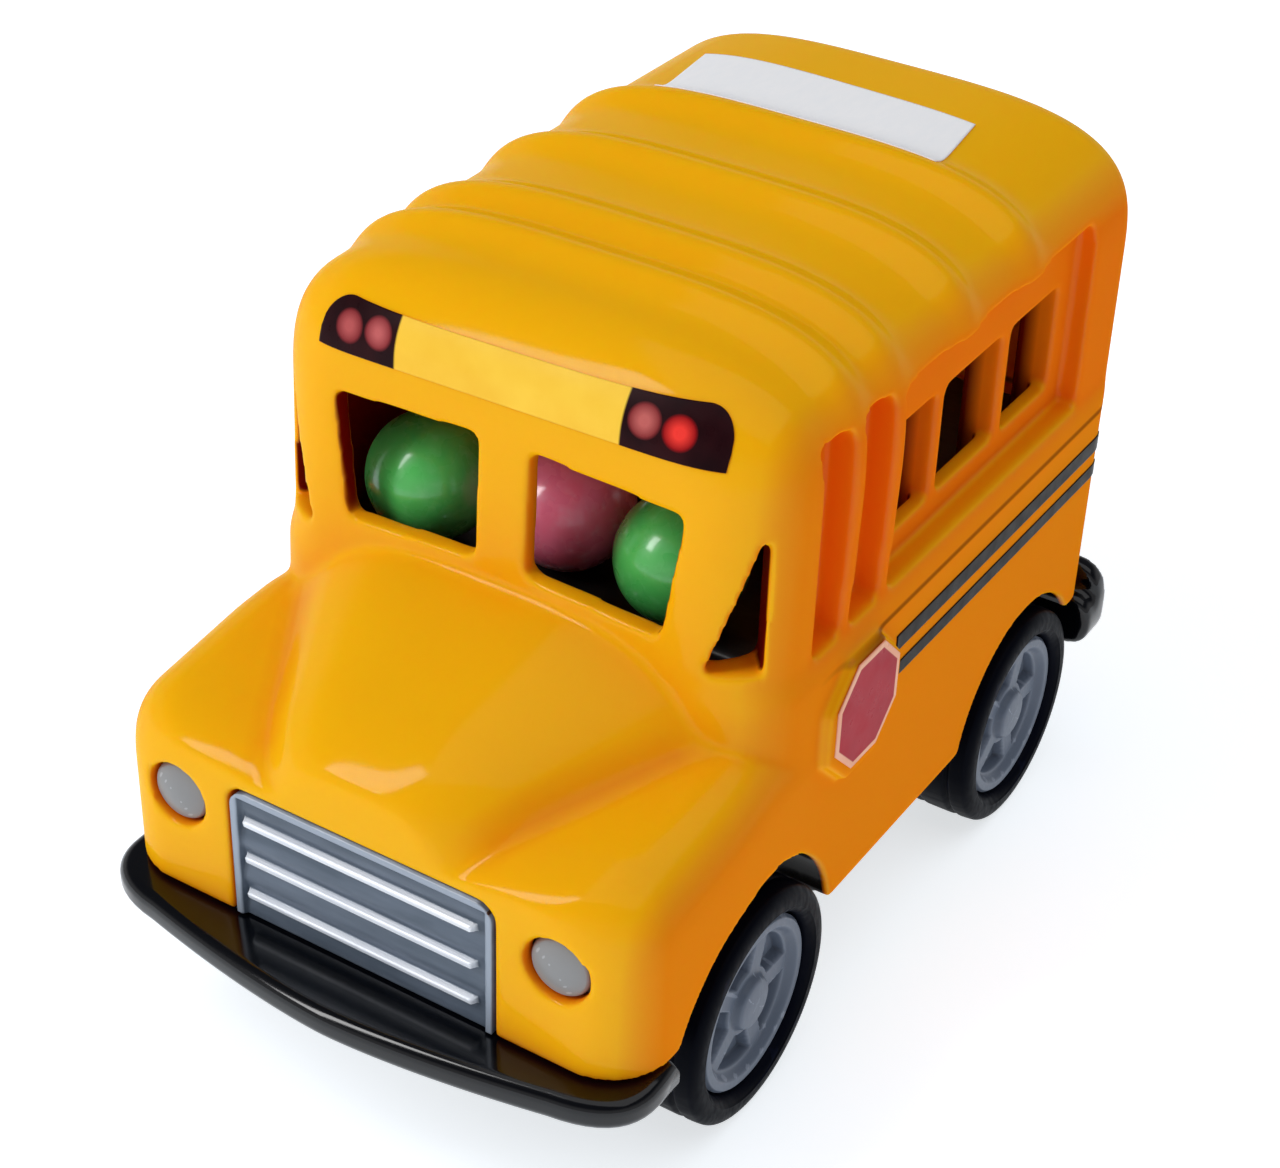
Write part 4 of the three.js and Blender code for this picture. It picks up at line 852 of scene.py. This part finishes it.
def hub(name, side, place):
    """Rings of radius r by angle a as one closed skin: the face rises to the rim and to the cap,
    and sinks where the distance from the nearest spoke's middle leaves a pocket."""
    r = np.concatenate([np.linspace(0, RIM_R - RIM_FLAT, 90),
                        np.linspace(RIM_R - RIM_TURN, RIM_R, 12)])[:, None]
    a = np.linspace(0, 2 * np.pi, HUB_STEPS, endpoint=False)[None, :]
    face, back = wheel_half - HUB_DISH, -wheel_half
    rise = RIM_RISE * smooth_step((r - RIM_R + RIM_FOOT) / RIM_SLOPE)
    rise = rise - RIM_EDGE * smooth_step((r - RIM_R + RIM_EDGE) / RIM_EDGE)
    cap = CAP_PROUD * (1 - smooth_step((r - CAP_R) / CAP_EDGE))
    cap = cap + CAP_CROWN * np.sqrt(np.clip(1 - (r / CAP_R) ** 2, 0, 1))
    turn = 2 * np.pi / SPOKES
    off = np.abs((a / turn + 0.5) % 1 - 0.5) * turn * r
    between = smooth_step((off - SPOKE_HALF) / SPOKE_EDGE)
    ring = smooth_step((r - POCKET_IN) / POCKET_EDGE) * smooth_step((POCKET_OUT - r) / POCKET_EDGE)
    x = face + rise + cap - POCKET_DEEP * between * ring
    behind = fine([[RIM_R, back + HUB_BACK + HUB_CHAMFER], [RIM_R - HUB_CHAMFER, back + HUB_BACK],
                   [RIM_R - RIM_T, back + HUB_BACK], [RIM_R - RIM_T, face - HUB_WEB],
                   [AXLE_R + SOCKET_T, face - HUB_WEB], [AXLE_R + SOCKET_T, back + SOCKET_END],
                   [AXLE_R + GAP, back + SOCKET_END], [AXLE_R + GAP, face - HUB_FLOOR],
                   [0, face - HUB_FLOOR]], 40)
    whole = (len(behind), HUB_STEPS)
    r = np.concatenate([np.broadcast_to(r, x.shape), np.broadcast_to(behind[:, :1], whole)])
    x = np.concatenate([x, np.broadcast_to(behind[:, 1:], whole)])
    points = np.stack([side * x, r * np.cos(a), r * np.sin(a)], -1) + place
    faces = grid_faces(*points.shape[:2], wrap_columns=True)
    return weld(new_piece(name, points, (faces[:, ::-1] if side > 0 else faces).tolist()))


hub_grey = moulded("hub_grey", srgb(104, 114, 130), srgb(62, 69, 81), srgb(142, 150, 164),
                   rough=0.4, coat=0.05, grain=0.03, scuffs=0.08, shine=0.25)
for name, hand, side, place in wheels:
    disc = even_shading(hub(f"hub_disc_{name}_{hand}", side, place))
    dress(disc, hub_grey, name + "_wheels", "hub_grey", f"hub_{name}_{hand}")

# Rear door: a yellow flap in the back wall, round along its hinged edge, with two sunk panels and
# a small pull, moulded like the shell. A copy of the CAD node's loose triangles is merged, and its
# edges are softened.
door = bpy.data.objects.new("rear_flap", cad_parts["rear_door"].data.copy())
bpy.context.scene.collection.objects.link(door)
soften(weld(door, reach=0.005), grain=0.22, passes=5, most=60000)
dress(door, yellow, "rear_door", "body_yellow", "rear_door")

# Hinge pin: a bright steel wire, cut with a small chamfer at each end. It stands through the
# door's round edge and through the wall above and below it.
PIN_R, PIN_CHAMFER = 0.6, 0.15
HINGE_X, HINGE_Y = -7.7, REAR_TOP_Y - REAR_WALL / 2
pin_low, pin_high = (corner[2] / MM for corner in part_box("door_hinge_pin"))
hinge_pin = turned("hinge_wire", rod_profile(PIN_R, pin_low, pin_high, PIN_CHAMFER), 32, "z",
                   (HINGE_X, HINGE_Y, 0))
dress(hinge_pin, steel, "bus", "axle_steel", "door_hinge_pin")

# Candy balls: hard sugar-coated balls, green and red, loose on the tray. Each is a ball with a very
# slight swell and dimples, under a clear glaze.
BALL_ROWS, BALL_COLUMNS = 73, 144
BALL_SHRINK, BALL_SWELL, BALL_DENT = 0.997, 0.003, 0.0008
BALL_COLOURS = "green green red red red green green green red".split()


def ball_points(centre, radius, phase):
    """A ball over two angles whose radius swells by slow and fast waves, each ball by its phase."""
    a = np.linspace(0, np.pi, BALL_ROWS)[:, None]
    b = np.linspace(0, 2 * np.pi, BALL_COLUMNS, endpoint=False)[None, :]
    out = np.stack(np.broadcast_arrays(np.sin(a) * np.cos(b), np.sin(a) * np.sin(b), np.cos(a)), -1)
    x, y, z = np.moveaxis(out, -1, 0)
    slow = np.sin(3.1 * x + phase) * np.sin(2.7 * y + 2 * phase) * np.cos(2.3 * z + phase)
    fast = np.sin(9 * x + 5 * phase) * np.sin(8 * y) * np.sin(10 * z + phase)
    return centre + out * (radius * (BALL_SHRINK + BALL_SWELL * slow + BALL_DENT * fast))[..., None]


def candy(name, colour, deep, pale):
    """Hard candy: mottled colour with pale sugar flecks under a clear glaze."""
    f = Finish(name)
    fleck = f.rescale(f.speckle(900.0), 0.0, 0.25, 0.55, 0.75)
    return f.paint(
        Base_Color=f.blend(fleck, f.clouds(160.0, colour, deep, detail=3.0), pale),
        Roughness=f.rescale(f.speckle(400.0), 0.22, 0.36),
        Normal=f.bump(0.05, 0.3, f.speckle(500.0, 3.0)), Coat_Weight=0.6, Coat_Roughness=0.1,
        Subsurface_Weight=0.15, Subsurface_Radius=(0.6, 0.6, 0.6), Subsurface_Scale=0.002)


glazes = {
    "green": candy("green_glaze", srgb(94, 214, 104), srgb(76, 190, 90), srgb(140, 226, 146)),
    "red": candy("red_glaze", srgb(255, 144, 176), srgb(252, 104, 136), srgb(255, 184, 204)),
}
ball_faces = grid_faces(BALL_ROWS, BALL_COLUMNS, wrap_columns=True)[:, ::-1].tolist()
for number, colour in enumerate(BALL_COLOURS, 1):
    low, high = (np.array(corner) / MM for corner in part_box("gumball_%d" % number))
    points = ball_points((low + high) / 2, (high - low)[2] / 2, number)
    ball = even_shading(weld(new_piece("candy_ball_%d" % number, points, ball_faces)))
    dress(ball, glazes[colour], "bus", "candy_" + colour, "gumball_%d" % number)

# Front sign: one long printed sticker over the windscreen, a bare pale panel with a dark block at
# each end and two round lamps printed on each block. It is rubbed down on the cab's round brow.
FRONT_SIGN_X, FRONT_SIGN_Z, FRONT_SIGN_ROUND = (-20.3, 21.5), (66.9, 71.5), 3.2
FRONT_SIGN_TILT, BLOCK_X, BULB_Y, HOLD_OFF = 0.018, 11.7, -21.7, 3
BULBS = ((-17.0, 68.9, srgb(178, 84, 84), srgb(128, 44, 48)),
         (-13.7, 69.2, srgb(190, 96, 96), srgb(134, 48, 52)),
         (13.7, 69.7, srgb(190, 98, 94), srgb(130, 46, 48)),
         (17.0, 69.6, srgb(240, 60, 52), srgb(150, 20, 24)))


def rub_down(name, sheet, axis, lift=0.05, thick=0.1):
    """A sheet of points pushed along one axis until it lies on the shell, then given thickness."""
    piece = new_piece(name, sheet, grid_faces(*sheet.shape[:2]).tolist())
    lay = piece.modifiers.new("lay", "SHRINKWRAP")
    lay.wrap_method, lay.wrap_mode = "PROJECT", "ABOVE_SURFACE"
    lay.target, lay.offset = shell, lift * MM
    lay.use_project_x, lay.use_project_y, lay.use_project_z = (axis == k for k in "xyz")
    lay.use_negative_direction = lay.use_positive_direction = True
    body = piece.modifiers.new("body", "SOLIDIFY")
    body.thickness, body.offset = thick * MM, 0.0
    settle(piece)
    return even_shading(piece)


def printed(f, colour, rough, grain=500.0):
    """Print on glossy film: a colour, with fine wear in the gloss and a faint waviness."""
    return f.paint(Base_Color=colour, Specular_IOR_Level=0.05,
                   Roughness=f.rescale(f.speckle(grain, 3.0), rough - 0.06, rough + 0.1),
                   Normal=f.bump(0.02, 0.2, f.speckle(900.0)))


def front_sign_sheet():
    """Rows of x by z between two heights; the upper corners fall away as quarter circles."""
    (left, right), (low, high) = FRONT_SIGN_X, FRONT_SIGN_Z
    u, v = np.meshgrid(np.linspace(0, 1, 241), np.linspace(0, 1, 49))
    x = left + (right - left) * u
    fall = end_inset(np.minimum(x - left, right - x), FRONT_SIGN_ROUND)
    z = low + (high - fall - low) * v
    return np.stack([x, np.full_like(x, CAB_Y - HOLD_OFF), z + FRONT_SIGN_TILT * x], -1)


def front_sign_print():
    """A pale panel, dark beyond a distance from the middle, and lamps by distance from a point."""
    f = Finish("front_sign_print")
    across = f.maths("ABSOLUTE", f.split(f.where)[0])
    paper = f.clouds(180.0, srgb(250, 204, 70), srgb(243, 190, 56), detail=3.0)
    ink = f.clouds(260.0, srgb(44, 14, 18), srgb(26, 8, 12), detail=3.0)
    block = f.rescale(across, 0.0, 1.0, (BLOCK_X - 0.1) * MM, (BLOCK_X + 0.1) * MM)
    colour = f.blend(block, paper, ink)
    for x, z, hue, rim in BULBS:
        away = f.reach((x, BULB_Y, z))
        bulb = f.blend(f.rescale(away, 0.0, 1.0, 0.5 * MM, 1.4 * MM), hue, rim)
        colour = f.blend(f.rescale(away, 1.0, 0.0, 1.35 * MM, 1.65 * MM), colour, bulb)
    return printed(f, colour, 0.3)


dress(rub_down("front_sign_sticker", front_sign_sheet(), "y"), front_sign_print(), "bus")

# Side stripes: two stripes of black film on each side, rubbed down below the belt. They run from
# behind the side sign to the rear corner.
STRIPE_X, STRIPE_Y = SALOON_HALF + 2, (0.9, 46.6)
STRIPES = {"upper": (38.8, 40.6), "lower": (35.7, 37.2)}
f = Finish("stripe_black")
stripe_film = printed(f, f.clouds(150.0, srgb(14, 12, 10), srgb(26, 20, 14), detail=4.0), 0.32)
for side, hand in HANDS:
    for row, (low, high) in STRIPES.items():
        y, z = np.meshgrid(np.linspace(*STRIPE_Y, 181), np.linspace(low, high, 13))
        sheet = np.stack([np.full_like(y, side * STRIPE_X), y, z], -1)
        stripe = rub_down("stripe_%s_%s" % (row, hand), sheet if side > 0 else sheet[::-1], "x")
        dress(stripe, stripe_film, "bus")

# Side sign: a red eight-sided sticker with a pale border, printed on thick film. It is stuck on the
# raised eight-sided boss of the left side.
FACE_Z, FACE_ACROSS, FACE_BEVEL, BORDER_IN = SIGN_Z + 0.5, 11.6, 0.3, 5.2
sign_x = SALOON_HALF + SIGN_PROUD + 0.03
layers = ((FACE_ACROSS, -0.05), (FACE_ACROSS, 0.03), (FACE_ACROSS - FACE_BEVEL, 0.08))
rings = np.stack([np.insert(octagon(across, FACE_Z), 0, sign_x + out, axis=1) for across, out in layers])


def side_sign_print():
    """Red inside a pale border, by the greatest distance from the middle along four directions."""
    f = Finish("side_sign_red")
    middle = (0, SIGN_Y * MM, FACE_Z * MM)
    from_middle = f.add("VectorMath", {"operation": "SUBTRACT"}, i0=f.where, i1=middle).outputs[0]
    reach = 0.0
    for turn in np.arange(4) * math.pi / 4:
        way = (0, math.cos(turn), math.sin(turn))
        along = f.add("VectorMath", {"operation": "DOT_PRODUCT"}, i0=from_middle, i1=way).outputs["Value"]
        reach = f.maths("MAXIMUM", f.maths("ABSOLUTE", along), reach)
    red = f.clouds(200.0, srgb(176, 34, 50), srgb(166, 30, 46), detail=3.0)
    pale = f.clouds(200.0, srgb(246, 190, 160), srgb(238, 170, 138), detail=3.0)
    border = f.rescale(reach, 0.0, 1.0, (BORDER_IN - 0.05) * MM, (BORDER_IN + 0.05) * MM)
    return printed(f, f.blend(border, red, pale), 0.3)


dress(stack("side_sign_sticker", rings), side_sign_print(), "bus")

# Roof label: a plain white paper label, cut a little out of square. It is rubbed down across the
# roof behind the last rib.
LABEL = np.array([[-16.6, 27.0], [14.8, 27.2], [13.2, 39.0], [-18.6, 40.2]])
u, v = (share[..., None] for share in np.meshgrid(np.linspace(0, 1, 121), np.linspace(0, 1, 61)))
front_edge, rear_edge = LABEL[0] + (LABEL[1] - LABEL[0]) * u, LABEL[3] + (LABEL[2] - LABEL[3]) * u
flat = front_edge + (rear_edge - front_edge) * v
f = Finish("label_paper")
fibre = f.clouds(1200.0, srgb(251, 251, 252), srgb(247, 248, 250), detail=4.0, stretch=(1, 0.4, 1))
roof_label = rub_down("roof_label_sticker", np.insert(flat, 2, CROWN_Z + HOLD_OFF, axis=2), "z")
dress(roof_label, printed(f, fibre, 0.5, 900.0), "bus")

# Studio: a wide pale floor that glows a little, a narrow key light ahead of the bus's right side
# and a large soft light above. The camera stands at the photograph's angle.
FLOOR_HALF = 2000
LENS, SENSOR, CAMERA_PLACE = 72.82, 36, (0.110645, -0.179203, 0.177898)
azimuth, height, roll = np.radians([31.61, 33.94, 1.98])
HORIZON, OVERHEAD, HORIZON_TOP, OVERHEAD_FOOT = (0.58, 0.58, 0.595, 1), (0.1, 0.105, 0.12, 1), 0.28, 0.5
LIGHTS = {"key_light": ((-0.3, -0.42, 0.53), (0, 0, 0.03), (0.14, 0.5), 2.5),
          "top_light": ((0.16, 0.04, 0.75), (0, 0, 0.05), (0.9, 0.9), 2.3)}
scene = bpy.context.scene

f = Finish("sweep")
sweep = f.paint(Base_Color=f.clouds(4.0, (0.74, 0.8, 0.86, 1), (0.72, 0.78, 0.84, 1)), Roughness=0.9,
                Specular_IOR_Level=0.1, Emission_Color=(0.96, 0.985, 1, 1), Emission_Strength=0.68)
corners = rect(-FLOOR_HALF, FLOOR_HALF, -FLOOR_HALF, FLOOR_HALF)
floor = new_piece("floor", np.insert(corners, 2, 0, axis=1), [[0, 1, 2, 3]])
floor.data.materials.append(sweep)

for name, (spot, aim, size, energy) in LIGHTS.items():
    light = bpy.data.lights.new(name, "AREA")
    light.shape, light.energy = "RECTANGLE", energy
    light.size, light.size_y = size
    lamp = bpy.data.objects.new(name, light)
    lamp.location = spot
    lamp.rotation_euler = (Vector(aim) - Vector(spot)).to_track_quat("-Z", "Y").to_euler()
    scene.collection.objects.link(lamp)

scene.world = bpy.data.worlds.new("studio")
scene.world.use_nodes = True
tree = scene.world.node_tree
way = add_node(tree, "SeparateXYZ", Vector=add_node(tree, "TexCoord").outputs["Generated"])
climb = add_node(tree, "MapRange", Value=way.outputs[2], From_Min=HORIZON_TOP, From_Max=OVERHEAD_FOOT)
backdrop = add_node(tree, "Mix", {"data_type": "RGBA"}, i0=climb.outputs[0], i6=HORIZON, i7=OVERHEAD)
wire(tree, tree.nodes["Background"], Color=backdrop.outputs[2])

lens = bpy.data.cameras.new("view")
lens.lens, lens.sensor_width = LENS, SENSOR
back = np.array([np.sin(azimuth) * np.cos(height), -np.cos(azimuth) * np.cos(height), np.sin(height)])
level = np.array([np.cos(azimuth), np.sin(azimuth), 0])
upright = np.cross(back, level)
right = level * np.cos(roll) + upright * np.sin(roll)
up = upright * np.cos(roll) - level * np.sin(roll)
place = np.eye(4)
place[:3] = np.stack([right, up, back, CAMERA_PLACE], -1)
scene.camera = bpy.data.objects.new("view", lens)
scene.collection.objects.link(scene.camera)
scene.camera.matrix_world = Matrix(place.tolist())
scene.view_settings.view_transform = "Standard"
